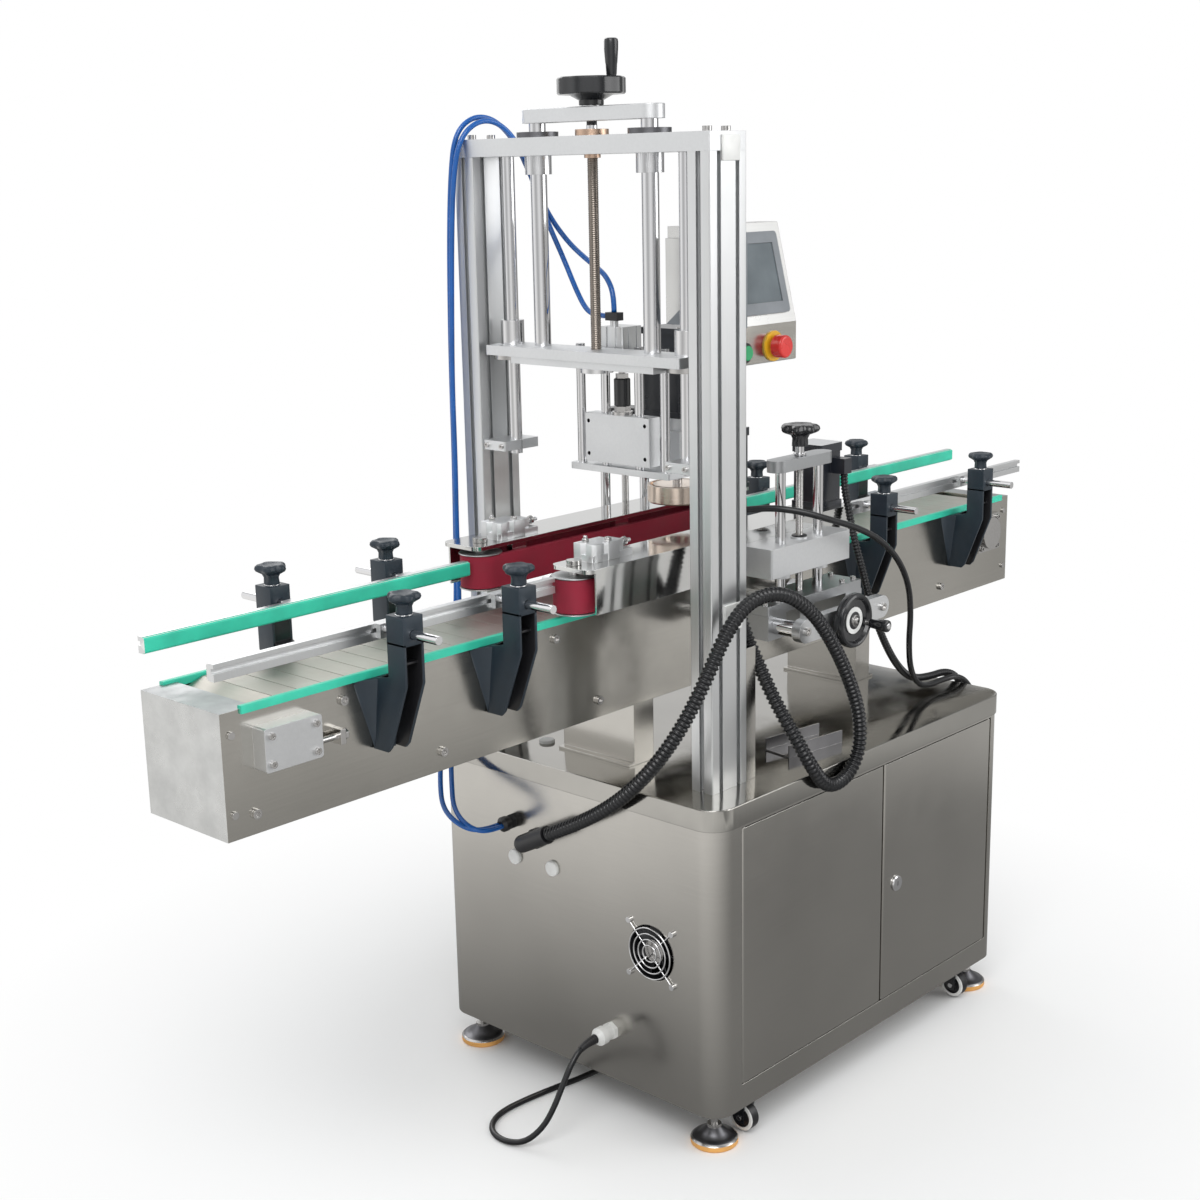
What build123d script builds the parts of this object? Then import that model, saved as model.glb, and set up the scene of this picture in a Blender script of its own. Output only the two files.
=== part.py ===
from build123d import *
from math import atan2, ceil, cos, degrees, hypot, pi, radians, sin, sqrt, tan
import os

os.makedirs("parts", exist_ok=True)

# Bottle capping machine. Millimetres, Z up, X along the conveyor (bottles travel to +X),
# the operator's side is -Y. The origin is on the floor under the middle of the guide rails.

# Fits and gaps
RUN_FIT = 0.05        # radial clearance of a shaft in its bore
SOFT_GAP = 0.3        # gap between curved or turning faces of different bodies
SEAT_GAP = 0.2        # radial clearance of a fixed piece in its hole

# Cabinet
CAB_X = (-271.0, 509.0)
CAB_Y = (-303.0, 277.0)
CAB_BOTTOM = 59.0
CAB_TOP = 542.0
CAB_SHEET = 2.0
CAB_CORNER = 36.0
LIP_HEIGHT = 33.0
LIP_OVERHANG = 2.5
DOOR_Z = (100.0, 503.0)
DOOR_LEFT_X = (-212.0, 148.0)
DOOR_RIGHT_X = (152.0, 470.0)
DOOR_GAP = 1.5
DOOR_FOLD = 15.0
DOOR_CORNER = 4.0
HINGE_INSET = 6.0
HINGE_DEPTH = 4.0
HINGE_PIN_R = 3.0
HINGE_PIN_REACH = 5.0
LOCK_X = 188.5
LOCK_Z = 292.0
LOCK_R = 9.0
FOOT_INSET = 38.0
FOOT_R = 36.0
FOOT_STEM_R = 6.0
CASTER_X = (-178.0, 416.0)
CASTER_INSET = 24.0
CASTER_WHEEL_R = 22.0
CASTER_WHEEL_WIDTH = 18.0
CASTER_AXLE_R = 4.0
CASTER_LIFT = 3.0
FAN_Y = -176.8
FAN_Z = 293.6
FAN_SIZE = 92.0
FAN_DEPTH = 25.0
FAN_DUCT_R = 43.5
FAN_SCREW = 42.0
FAN_PIN_R = 3.0

# Gantry and its fittings
GANTRY_X = -174.4
COLUMN_SECTION = (80.0, 40.0)
SLOT_MOUTH = 8.2
SLOT_PITCH = 40.0
BEAM_Z = (1449.0, 1475.0)
BEAM_LENGTH = 500.0
COLUMN_Y = (BEAM_LENGTH - COLUMN_SECTION[1]) / 2
COLUMN_FACE_Y = COLUMN_Y - COLUMN_SECTION[1] / 2
LIFT_SHAFT_R = 12.5
LIFT_SHAFT_Y = 110.0
GUIDE_SHAFT_R = 10.0
GUIDE_STANDOFF = 35.0
GUIDE_SHAFT_Y = COLUMN_FACE_Y - GUIDE_STANDOFF
GUIDE_SHAFT_BOTTOM = 1000.0
GUIDE_CLAMP_Z = (1007.0, 1022.0)
LEAD_R = 8.0

# Lifting carriage
CARRIAGE_PLATE_X = (-216.0, -150.0)
CARRIAGE_PLATE_Y = GUIDE_SHAFT_Y + 19.0
CARRIAGE_PLATE_Z = (1155.0, 1170.0)
HEAD_PLATE_THICK = 10.5
TONGUE_X = -81.0
TONGUE_Y = 98.0
LINK_Z = (1495.5, 1515.5)
LINK_HALF_Y = 132.5
LINK_WIDTH = 40.0
WHEEL_R = 50.0
WHEEL_RIM_Z = (1532.0, 1556.0)

# Capping head
PRESS_X = -119.0
SPINDLE_X = 7.0
HEAD_ROD_R = 7.0
HEAD_ROD_Y = (34.0, 85.0)
HEAD_ROD_TOP = 1170.0
CARRIER_X = (-131.0, 57.0)
CARRIER_Y = 100.0
CARRIER_Z = (977.0, 987.0)
SERVO_SIZE = 80.0
COUPLING_TOP = 1033.0
SERVO_BOTTOM = 1053.0
SERVO_TOP = 1190.0
SPINDLE_R = 7.5
CHUCK_R = 47.5
CHUCK_Z = (916.0, 944.0)
PISTON_R = 5.0
PRESS_BOX_X = (-134.0, -107.0)
PRESS_BOX_Y = 65.0
PRESS_BOX_Z = (993.0, 1067.0)

# Conveyor
CONV_X = (-935.0, 884.0)
CONV_HALF_Y = 82.7
CONV_Z = (642.7, 805.7)
CONV_SHEET = 2.5
CONV_POST_X = ((-187.5, -142.3), (397.0, 438.0))
CONV_POST_Y = 74.2
IDLE_X = -846.0
DRIVE_X = 806.0
CHAIN_AXIS_Z = 746.0
CHAIN_TOP = 806.0
CHAIN_HALF_Y = 76.2
CHAIN_PITCH = 38.1
SLAT_THICK = 4.0
SLAT_NOTCH = (1.2, 2.0)
KNUCKLE_DEPTH = 13.0
KNUCKLE_HALF_Y = 21.0
CONV_SHAFT_R = 12.5
STRIP_TOP = 810.0
UPPER_TIE_DROP = 26.0
LOWER_TIE_DROP = 17.0
CHAIN_LOW = 2 * CHAIN_AXIS_Z - CHAIN_TOP

# Guide rails and their brackets
BRACKET_X = (-685.0, -482.0, 385.0, 693.0)
RAIL_Y = (80.0, 94.0)
RAIL_Z = (850.0, 872.0)
RAIL_STRIP = 4.0
RAIL_ROD_Z = 864.0
RAIL_ROD_R = 6.0
RAIL_ROD_END = 200.0
RAIL_SPANS = {
    "rail_near_infeed": (-1, (-946.0, -370.0), BRACKET_X[:2]),
    "rail_far_infeed": (1, (-926.0, -370.0), BRACKET_X[:2]),
    "rail_near_outfeed": (-1, (290.0, 905.0), BRACKET_X[2:]),
    "rail_far_outfeed": (1, (285.0, 946.0), BRACKET_X[2:]),
}

# Side belt units, the far one set a little higher
BELT_X = (-333.0, 247.0)
BELT_AXIS_Y = 96.0
BELT_R = 31.0
BELT_THICK = 9.0
BELT_Z = (820.0, 868.0)
FAR_RAISE = 8.5
COVER_Z = (879.0, 885.0)
COVER_Y = (66.0, 144.0)
COVER_END_X = 282.0
SKIRT_SHEET = 3.0
BELT_MOTOR_SIZE = 60.0
BELT_MOTOR_TOP = 988.0

# Height and cross adjustment of the side belts
ADJUST_X = 84.5
POST_SPREAD = 48.5
POST_Y = 181.0
POST_R = 8.0
POST_LINK_Z = (977.0, 995.0)
POST_LINK_HALF = 72.5
HEIGHT_BLOCK_HALF = 102.0
HEIGHT_BLOCK_Y = (144.0, 206.0)
HEIGHT_BLOCK_Z = (820.0, 866.0)
HEIGHT_SCREW_R = 6.0
KNOB_R = 31.5
KNOB_Z = (1010.0, 1045.0)
SLIDE_X = (-37.0, 206.0)
SLIDE_Y = (147.0, 215.0)
SLIDE_Z = (768.0, 783.0)
SLIDE_SPREAD = 100.0
SLIDE_BLOCK_HALF = 22.0
CROSS_SHAFT_R = 12.5
CROSS_SHAFT_Z = 750.0
CROSS_SHAFT_START = CONV_HALF_Y
END_PLATE_Y = (255.0, 270.0)
END_PLATE_HALF_X = 118.0
END_PLATE_HALF_Z = 18.0
CROSS_SCREW_R = 7.0
CROSS_WHEEL_R = 42.5
CROSS_WHEEL_Y = (274.0, 292.0)
CROSS_GRIP_END = 328.0

# Operator console
CONSOLE_X = (-129.0, 81.0)
CONSOLE_PROFILE = [(-175.0, 1143.0), (-175.0, 1200.0), (-139.0, 1346.6),
                   (-102.0, 1346.6), (-102.0, 1208.0), (-135.0, 1208.0), (-135.0, 1143.0)]
CONSOLE_PLATE = 5.0
SCREEN_X = (-118.0, 66.0)
SCREEN_HEIGHT = 122.0
ESTOP_X = 24.0
ESTOP_Z = 1167.0
START_X = -44.0
START_Z = 1162.0

# Cords
MAINS_R = 4.5
CONDUIT_R = 11.0
MOTOR_CONDUIT_R = 6.5
SENSOR_CABLE_R = 5.0
AIR_TUBE_R = 4.0


def block(x, y, z):
    """Box between two limits on each axis."""
    size = [max(v) - min(v) for v in (x, y, z)]
    centre = [(v[0] + v[1]) / 2 for v in (x, y, z)]
    return Pos(*centre) * Box(*size)


def turned(axis, at):
    """Location whose Z runs along the named axis, placed at three coordinates."""
    turn = {"X": Rot(0, 90, 0), "Y": Rot(-90, 0, 0), "Z": Rot(0, 0, 0)}[axis]
    return Pos(*at) * turn


def axis_point(axis, at, along):
    """Point on a line parallel to the axis: the two other coordinates in X, Y, Z order."""
    order = {"X": (along, at[0], at[1]), "Y": (at[0], along, at[1]), "Z": (at[0], at[1], along)}
    return order[axis]


def rod(axis, at, radius, span):
    """Cylinder along an axis between two positions on it."""
    low, high = min(span), max(span)
    bar = Cylinder(radius, high - low, align=(Align.CENTER, Align.CENTER, Align.MIN))
    return turned(axis, axis_point(axis, at, low)) * bar


def hexagon(axis, at, across, span):
    """Hexagonal bar along an axis, with its size across flats."""
    low, high = min(span), max(span)
    flat = RegularPolygon(across / 2, 6, major_radius=False)
    return turned(axis, axis_point(axis, at, low)) * extrude(flat, high - low)


def spun(at, profile):
    """Solid turned about a vertical axis from (radius, height) points."""
    face = make_face(Plane.XZ * Polyline(*profile, close=True))
    return Pos(at[0], at[1], 0) * revolve(face, Axis.Z)


def pillar(x, y, z, corner):
    """Upright block with rounded vertical edges."""
    centre = Pos((x[0] + x[1]) / 2, (y[0] + y[1]) / 2, min(z))
    return centre * extrude(RectangleRounded(x[1] - x[0], y[1] - y[0], corner), max(z) - min(z))


def sided(side, near, far):
    """The two Y values of a span given by its distances from the machine's middle plane."""
    return (side * near, side * far) if side > 0 else (side * far, side * near)


def star(at, radius, span, lobes=7):
    """Star knob about a vertical axis."""
    body = rod("Z", at, radius, span)
    grooves = [
        rod("Z", (at[0] + (radius + 3.5) * cos(2 * pi * i / lobes),
                  at[1] + (radius + 3.5) * sin(2 * pi * i / lobes)), 8.0, (span[0] - 1, span[1] + 1))
        for i in range(lobes)
    ]
    return body - grooves


def socket_screw(axis, at, face, outward, radius=4.5, height=4.0):
    """Socket cap head seated on a face, with its hexagonal recess."""
    top = face + outward * height
    recess = hexagon(axis, at, radius, (top, top - outward * height * 0.6))
    return rod(axis, at, radius, (face, top)) - recess


def save(name, shape):
    """Write one node, with its solids, to its STEP file."""
    solids = shape.solids() if hasattr(shape, "solids") else ShapeList(shape).solids()
    model = solids[0] if len(solids) == 1 else Compound(children=list(solids))
    model.label = name
    export_step(model, f"parts/{name}.step")


# Cabinet

def cabinet_outline(grow, z):
    """Rounded block of the cabinet's plan, grown outward by a distance."""
    x = (CAB_X[0] - grow, CAB_X[1] + grow)
    y = (CAB_Y[0] - grow, CAB_Y[1] + grow)
    return pillar(x, y, z, CAB_CORNER + grow)


CAB_MID_Y = (CAB_Y[0] + CAB_Y[1]) / 2
SHELL_TOP = CAB_TOP - CAB_SHEET
FEET = [(x, y) for x in (CAB_X[0] + FOOT_INSET, CAB_X[1] - FOOT_INSET)
        for y in (CAB_Y[0] + FOOT_INSET, CAB_Y[1] - FOOT_INSET)]
CASTER_Z = CASTER_LIFT + CASTER_WHEEL_R
CASTERS = [(x, y) for x in CASTER_X
           for y in (CAB_Y[0] + CASTER_INSET, CAB_Y[1] - CASTER_INSET)]
OPEN_X = (DOOR_LEFT_X[0] - DOOR_GAP, DOOR_RIGHT_X[1] + DOOR_GAP)
OPEN_Z = (DOOR_Z[0] - DOOR_GAP, DOOR_Z[1] + DOOR_GAP)
HINGES = (DOOR_LEFT_X[0] + HINGE_INSET, DOOR_RIGHT_X[1] - HINGE_INSET)
HINGE_Y = CAB_Y[0] + HINGE_DEPTH
FRAME_DEPTH = (CAB_Y[0], CAB_Y[0] + 18.0)

GLAND_MAINS = (-94.0, 140.6)
GLAND_AIR = (112.2, 431.8)
GLAND_CONDUIT = (57.4, 417.0)
PLUGS = ((105.8, 374.7), (24.1, 375.8))
TABLE_PLUG = (-189.0, 111.0)
SIDE_GLANDS = ((-206.0, 430.0), (-229.0, 430.0))
THREAD_R = {"mains": 8.0, "air": 8.0, "conduit": 10.0, "plug": 8.0}

shell = cabinet_outline(0, (CAB_BOTTOM, SHELL_TOP))
shell -= cabinet_outline(-CAB_SHEET, (CAB_BOTTOM + CAB_SHEET, SHELL_TOP + 1))
shell -= block(OPEN_X, (CAB_Y[0] - 1, CAB_Y[0] + CAB_SHEET + 1), OPEN_Z)
frame_ring = block((OPEN_X[0] - CAB_SHEET, OPEN_X[1] + CAB_SHEET), FRAME_DEPTH,
                   (OPEN_Z[0] - CAB_SHEET, OPEN_Z[1] + CAB_SHEET))
frame_ring -= block(OPEN_X, (CAB_Y[0] - 1, FRAME_DEPTH[1] + 1), OPEN_Z)
shell += frame_ring
for hinge_x in HINGES:
    shell -= rod("Z", (hinge_x, HINGE_Y), HINGE_PIN_R + RUN_FIT,
                 (OPEN_Z[0] - 6 * CAB_SHEET, OPEN_Z[1] + 6 * CAB_SHEET))
face_x = (CAB_X[0] - 1, CAB_X[0] + CAB_SHEET + 1)
shell -= rod("X", (FAN_Y, FAN_Z), FAN_DUCT_R, face_x)
for dy in (-FAN_SCREW, FAN_SCREW):
    for dz in (-FAN_SCREW, FAN_SCREW):
        shell -= rod("X", (FAN_Y + dy, FAN_Z + dz), 2.0 + SEAT_GAP, face_x)
shell -= rod("X", GLAND_MAINS, THREAD_R["mains"] + SEAT_GAP, face_x)
shell -= rod("X", GLAND_AIR, THREAD_R["air"] + SEAT_GAP, face_x)
shell -= rod("X", GLAND_CONDUIT, THREAD_R["conduit"] + SEAT_GAP, face_x)
for plug in PLUGS:
    shell -= rod("X", plug, THREAD_R["plug"] + SEAT_GAP, face_x)
for entry in SIDE_GLANDS:
    shell -= rod("X", entry, 9 + SEAT_GAP, (CAB_X[1] - CAB_SHEET - 1, CAB_X[1] + 1))
for foot in FEET:
    shell -= rod("Z", foot, FOOT_STEM_R + SEAT_GAP, (CAB_BOTTOM - 1, CAB_BOTTOM + CAB_SHEET + 1))
save("cabinet_shell", shell)

top = cabinet_outline(LIP_OVERHANG, (CAB_TOP - LIP_HEIGHT, CAB_TOP))
top -= cabinet_outline(LIP_OVERHANG - CAB_SHEET, (CAB_TOP - LIP_HEIGHT - 1, SHELL_TOP))
top = fillet(top.edges().group_by(Axis.Z)[-1], 1.5)
top -= rod("Z", TABLE_PLUG, THREAD_R["plug"] + SEAT_GAP, (SHELL_TOP - 1, CAB_TOP + 1))
TRAY_SIZE = (118.0, 52.0, 20.0)
tray = Box(*TRAY_SIZE, align=(Align.CENTER, Align.CENTER, Align.MIN))
tray -= Pos(0, 0, CAB_SHEET) * Box(TRAY_SIZE[0] + 2, TRAY_SIZE[1] - 2 * CAB_SHEET, TRAY_SIZE[2],
                                   align=(Align.CENTER, Align.CENTER, Align.MIN))
top += Pos(52, -217, CAB_TOP) * Rot(0, 0, -8) * tray
save("top_plate", top)

feet = []
for foot in FEET:
    pad = spun(foot, [(0, 0), (FOOT_R - 2, 0), (FOOT_R, 2), (FOOT_R, 9), (FOOT_R - 3, 12),
                      (FOOT_R - 12, 15), (11, 27), (11, 31), (0, 31)])
    stem = rod("Z", foot, FOOT_STEM_R, (30, CAB_BOTTOM + 45))
    lock_nut = hexagon("Z", foot, 19, (CAB_BOTTOM - 9, CAB_BOTTOM))
    inner_nut = hexagon("Z", foot, 19, (CAB_BOTTOM + CAB_SHEET, CAB_BOTTOM + CAB_SHEET + 9))
    feet.append(pad + stem + lock_nut + inner_nut)
save("levelling_feet", Compound(children=feet))

FORK_GAP = 1.5
forks = []
for number, (cx, cy) in enumerate(CASTERS, 1):
    inward = 1 if cy < CAB_MID_Y else -1
    swivel_y = cy + inward * 17.0
    half = CASTER_WHEEL_WIDTH / 2 + FORK_GAP
    fork = block((cx - 24, cx + 24), (swivel_y - 18, swivel_y + 18), (CAB_BOTTOM - 3, CAB_BOTTOM))
    fork += rod("Z", (cx, swivel_y), 15, (CAB_BOTTOM - 8, CAB_BOTTOM - 3))
    crown_y = sorted((cy - inward * 9.0, swivel_y + inward * 9.0))
    fork += block((cx - half - 2.5, cx + half + 2.5), crown_y, (CAB_BOTTOM - 10.5, CAB_BOTTOM - 8))
    for side in (-1, 1):
        cheek = Plane.YZ * Polyline((cy - inward * 8, CASTER_Z - 8), (cy + inward * 8, CASTER_Z - 8),
                                    (swivel_y + inward * 9, CAB_BOTTOM - 8.5),
                                    (cy - inward * 9, CAB_BOTTOM - 8.5), close=True)
        fork += Pos(cx + side * (half + 1.25) - 1.25, 0, 0) * extrude(make_face(cheek), 2.5,
                                                                      dir=(1, 0, 0))
    fork += rod("X", (cy, CASTER_Z), CASTER_AXLE_R, (cx - half - 4, cx + half + 4))
    forks.append(fork)
    wheel = rod("X", (cy, CASTER_Z), CASTER_WHEEL_R,
                (cx - CASTER_WHEEL_WIDTH / 2, cx + CASTER_WHEEL_WIDTH / 2))
    wheel = fillet(wheel.edges().filter_by(GeomType.CIRCLE), 2.5)
    wheel -= rod("X", (cy, CASTER_Z), CASTER_AXLE_R + RUN_FIT, (cx - 20, cx + 20))
    for end in (-1, 1):
        recess = rod("X", (cy, CASTER_Z), CASTER_WHEEL_R - 6,
                     (cx + end * (CASTER_WHEEL_WIDTH / 2 - 3), cx + end * 20))
        recess -= rod("X", (cy, CASTER_Z), CASTER_AXLE_R + 4,
                      (cx + end * (CASTER_WHEEL_WIDTH / 2 - 3), cx + end * 20))
        wheel -= recess
    save(f"caster_wheel_{number}", wheel)
save("caster_forks", Compound(children=forks))


# Doors

def door(x, hinge_x):
    """Tray-shaped door with pivot pins at its hinge edge."""
    z_mid = (DOOR_Z[0] + DOOR_Z[1]) / 2
    width, height = x[1] - x[0], DOOR_Z[1] - DOOR_Z[0]
    depth = (CAB_Y[0], CAB_Y[0] + DOOR_FOLD)
    tray = block(x, depth, DOOR_Z)
    front_edges = tray.edges().filter_by(Axis.Z).group_by(Axis.Y)[0]
    tray = fillet(front_edges, DOOR_CORNER)
    hollow_x = (x[0] + CAB_SHEET, x[1] - CAB_SHEET)
    hollow_z = (DOOR_Z[0] + CAB_SHEET, DOOR_Z[1] - CAB_SHEET)
    hollow = block(hollow_x, (depth[0] + CAB_SHEET, depth[1] + 1), hollow_z)
    hollow = fillet(hollow.edges().filter_by(Axis.Z).group_by(Axis.Y)[0], DOOR_CORNER - CAB_SHEET)
    tray -= hollow
    for z_edge, z_end in ((DOOR_Z[1], 1), (DOOR_Z[0], -1)):
        root = z_edge - z_end * 14.0
        tray += rod("Z", (hinge_x, HINGE_Y), HINGE_PIN_R, (root, z_edge + z_end * HINGE_PIN_REACH))
        tray += block((hinge_x - 4, hinge_x + 4), (CAB_Y[0] + CAB_SHEET, HINGE_Y + 4),
                      (root, z_edge - z_end * CAB_SHEET))
    for rib_x in (x[0] + width * 0.33, x[0] + width * 0.67):
        tray += block((rib_x - 12, rib_x + 12), (depth[0] + CAB_SHEET, depth[0] + CAB_SHEET + 6),
                      (z_mid - height * 0.4, z_mid + height * 0.4))
    return tray


save("door_left", door(DOOR_LEFT_X, HINGES[0]))
door_right = door(DOOR_RIGHT_X, HINGES[1])
door_right -= rod("Y", (LOCK_X, LOCK_Z), LOCK_R + RUN_FIT, (CAB_Y[0] - 1, CAB_Y[0] + 8))
save("door_right", door_right)

lock = rod("Y", (LOCK_X, LOCK_Z), LOCK_R + 4, (CAB_Y[0] - 4, CAB_Y[0] - SOFT_GAP))
lock = chamfer(lock.edges().group_by(Axis.Y)[0], 1.5)
lock += rod("Y", (LOCK_X, LOCK_Z), LOCK_R, (CAB_Y[0] - 2, CAB_Y[0] + DOOR_FOLD + 2))
lock -= block((LOCK_X - 1, LOCK_X + 1), (CAB_Y[0] - 6, CAB_Y[0] - 2), (LOCK_Z - 4, LOCK_Z + 4))
lock += block((LOCK_X - 7, LOCK_X + 7), (CAB_Y[0] + DOOR_FOLD + 2, CAB_Y[0] + DOOR_FOLD + 5),
              (LOCK_Z - 9, LOCK_Z + 45))
save("door_lock", lock)


# Cooling fan

FAN_BACK = CAB_X[0] + CAB_SHEET + FAN_DEPTH
fan = block((CAB_X[0] + CAB_SHEET, FAN_BACK), (FAN_Y - FAN_SIZE / 2, FAN_Y + FAN_SIZE / 2),
            (FAN_Z - FAN_SIZE / 2, FAN_Z + FAN_SIZE / 2))
fan = fillet(fan.edges().filter_by(Axis.X), 5)
fan -= rod("X", (FAN_Y, FAN_Z), FAN_DUCT_R, (CAB_X[0], FAN_BACK + 1))
fan += rod("X", (FAN_Y, FAN_Z), 19, (FAN_BACK - 3, FAN_BACK))
strut = block((FAN_BACK - 3, FAN_BACK), (FAN_Y - 3, FAN_Y + 3), (FAN_Z - 45, FAN_Z + 45))
fan += strut
fan += strut.rotate(Axis((0, FAN_Y, FAN_Z), (1, 0, 0)), 90)
fan += rod("X", (FAN_Y, FAN_Z), FAN_PIN_R, (CAB_X[0] + CAB_SHEET + 6, FAN_BACK - 2))
WIRE_R = 1.2
for ring_r in (13.0, 22.0, 31.0, 40.0):
    fan += turned("X", (CAB_X[0] - 4.2, FAN_Y, FAN_Z)) * Torus(ring_r, WIRE_R)
for quarter in range(4):
    angle = radians(45 + 90 * quarter)
    reach = FAN_SCREW * sqrt(2)
    turn = Pos(CAB_X[0] - 2.6, FAN_Y, FAN_Z) * Rot(degrees(angle), 0, 0)
    fan += turn * rod("Z", (0, 0), WIRE_R, (11.0, reach))
    corner = (FAN_Y - sin(angle) * reach, FAN_Z + cos(angle) * reach)
    fan += rod("X", corner, 4.5, (CAB_X[0] - 4.5, CAB_X[0]))
    fan += rod("X", corner, 2.0, (CAB_X[0] - 2, CAB_X[0] + CAB_SHEET + 4))
save("fan_frame", fan)

rotor_x = (CAB_X[0] + CAB_SHEET + 4, FAN_BACK - 4)
rotor = rod("X", (FAN_Y, FAN_Z), 18, rotor_x)
for i in range(7):
    blade = Pos((rotor_x[0] + rotor_x[1]) / 2, FAN_Y, FAN_Z) * Rot(360 / 7 * i, 0, 0)
    blade = blade * Pos(0, 0, 29.0) * Rot(0, 0, 38) * Box(2.0, 21.0, 25.0)
    rotor += blade
rotor &= rod("X", (FAN_Y, FAN_Z), FAN_DUCT_R - 2.0, rotor_x)
rotor -= rod("X", (FAN_Y, FAN_Z), FAN_PIN_R + RUN_FIT, (rotor_x[0] + 1.5, rotor_x[1] + 1))
save("fan_rotor", rotor)


# Cable glands and plugs on the left side

def gland(at, thread_r, collar_r, length):
    """Screwed cable gland pointing out of the left side."""
    wall = CAB_X[0]
    body = rod("X", at, thread_r, (wall - 2, wall + CAB_SHEET + 10))
    body += hexagon("X", at, collar_r * 1.8, (wall - 7, wall))
    body += rod("X", at, collar_r * 0.86, (wall - length * 0.55, wall - 6))
    dome = spun((0, 0), [(0, 0), (collar_r, 0), (collar_r, length * 0.3),
                         (collar_r * 0.6, length * 0.5), (0, length * 0.5)])
    body += Pos(wall - length * 0.5, at[0], at[1]) * Rot(0, -90, 0) * dome
    body += hexagon("X", at, 2.4 * thread_r, (wall + CAB_SHEET, wall + CAB_SHEET + 5))
    return body


MAINS_GLAND_LENGTH = 38.0
AIR_GLAND_LENGTH = 26.0
SIDE_ELBOW_X = CAB_X[1] + 32.0
SIDE_ELBOW_TOP = 455.0
fittings = [gland(GLAND_MAINS, THREAD_R["mains"], 14.0, MAINS_GLAND_LENGTH),
            gland(GLAND_AIR, THREAD_R["air"], 12.0, AIR_GLAND_LENGTH)]
ELBOW_X = CAB_X[0] - 31.0
ELBOW_END = (ELBOW_X, 3.0, 445.0)
ELBOW_R = 14.0
elbow = rod("X", GLAND_CONDUIT, THREAD_R["conduit"], (CAB_X[0] - 2, CAB_X[0] + CAB_SHEET + 10))
elbow += rod("X", GLAND_CONDUIT, ELBOW_R + 2, (CAB_X[0] - 6, CAB_X[0]))
elbow += rod("X", GLAND_CONDUIT, ELBOW_R, (ELBOW_X, CAB_X[0] - 5))
elbow += Pos(ELBOW_X, *GLAND_CONDUIT) * Sphere(ELBOW_R)
arm = Vector(*ELBOW_END) - Vector(ELBOW_X, *GLAND_CONDUIT)
elbow += extrude(Plane(origin=(ELBOW_X, *GLAND_CONDUIT), z_dir=arm) * Circle(ELBOW_R), arm.length)
fittings.append(elbow)
for at in SIDE_GLANDS:
    entry = rod("X", at, 9, (CAB_X[1] - CAB_SHEET - 8, CAB_X[1] + 6))
    entry += hexagon("X", at, 19, (CAB_X[1], CAB_X[1] + 6))
    entry += rod("X", at, 9, (CAB_X[1] + 5, SIDE_ELBOW_X))
    entry += Pos(SIDE_ELBOW_X, *at) * Sphere(9)
    entry += rod("Z", (SIDE_ELBOW_X, at[0]), 9, (at[1], SIDE_ELBOW_TOP))
    fittings.append(entry)
for at in PLUGS:
    cap = rod("X", at, 12.5, (CAB_X[0] - 6, CAB_X[0]))
    cap = fillet(cap.edges().group_by(Axis.X)[0], 3)
    cap += rod("X", at, THREAD_R["plug"], (CAB_X[0] - 1, CAB_X[0] + CAB_SHEET + 8))
    fittings.append(cap)
cap = rod("Z", TABLE_PLUG, 12.5, (CAB_TOP, CAB_TOP + 5))
cap = fillet(cap.edges().group_by(Axis.Z)[-1], 2)
cap += rod("Z", TABLE_PLUG, THREAD_R["plug"], (SHELL_TOP - 8, CAB_TOP + 1))
fittings.append(cap)
save("cable_glands", Compound(children=fittings))


# Electrical mounting plate with its modules

PANEL_Y = 200.0
panel = block((-150, 390), (PANEL_Y, PANEL_Y + 2), (CAB_BOTTOM + CAB_SHEET, 480))
panel += block((-150, 390), (PANEL_Y - 30, PANEL_Y + 2), (CAB_BOTTOM + CAB_SHEET,
                                                         CAB_BOTTOM + 2 * CAB_SHEET))
for rail_z in (170.0, 300.0, 420.0):
    panel += block((-140, 380), (PANEL_Y - 8, PANEL_Y), (rail_z - 17, rail_z + 17))
modules = [(150, 300, 110), (90, 300, 96), (60, 300, 90), (100, 300, 80), (130, 300, 75),
           (70, 170, 60), (55, 170, 60), (180, 170, 45), (120, 170, 60),
           (80, 420, 70), (120, 420, 60), (70, 420, 80), (150, 420, 50)]
module_x = {300: -135, 170: -135, 420: -135}
for width, rail_z, depth in modules:
    start = module_x[rail_z]
    width = min(width, 375 - start)
    panel += block((start, start + width), (PANEL_Y - 6 - depth, PANEL_Y - 6),
                   (rail_z - 45, rail_z + 45))
    module_x[rail_z] = start + width + 9
save("electrical_panel", panel)


# Gantry columns and beam

def column_section():
    """Aluminium profile section with its T-slots."""
    width, depth = COLUMN_SECTION
    slot = Pos(0, -2.0) * Rectangle(SLOT_MOUTH, 5.0) + Pos(0, -8.0) * Rectangle(16.0, 7.0)
    section = RectangleRounded(width, depth, 2.0)
    for face in (0, 180):
        for offset in (-SLOT_PITCH / 2, SLOT_PITCH / 2):
            section -= Rot(0, 0, face) * Pos(offset, depth / 2) * slot
        section -= Rot(0, 0, face) * Pos(width / 2, 0) * Rot(0, 0, -90) * slot
    return section


BEAM_X = (GANTRY_X - COLUMN_SECTION[0] / 2, GANTRY_X + COLUMN_SECTION[0] / 2)
columns = [
    Pos(GANTRY_X, side * COLUMN_Y, CAB_TOP) * extrude(column_section(), BEAM_Z[0] - CAB_TOP)
    for side in (-1, 1)
]
save("gantry_columns", Compound(children=columns))

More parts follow.
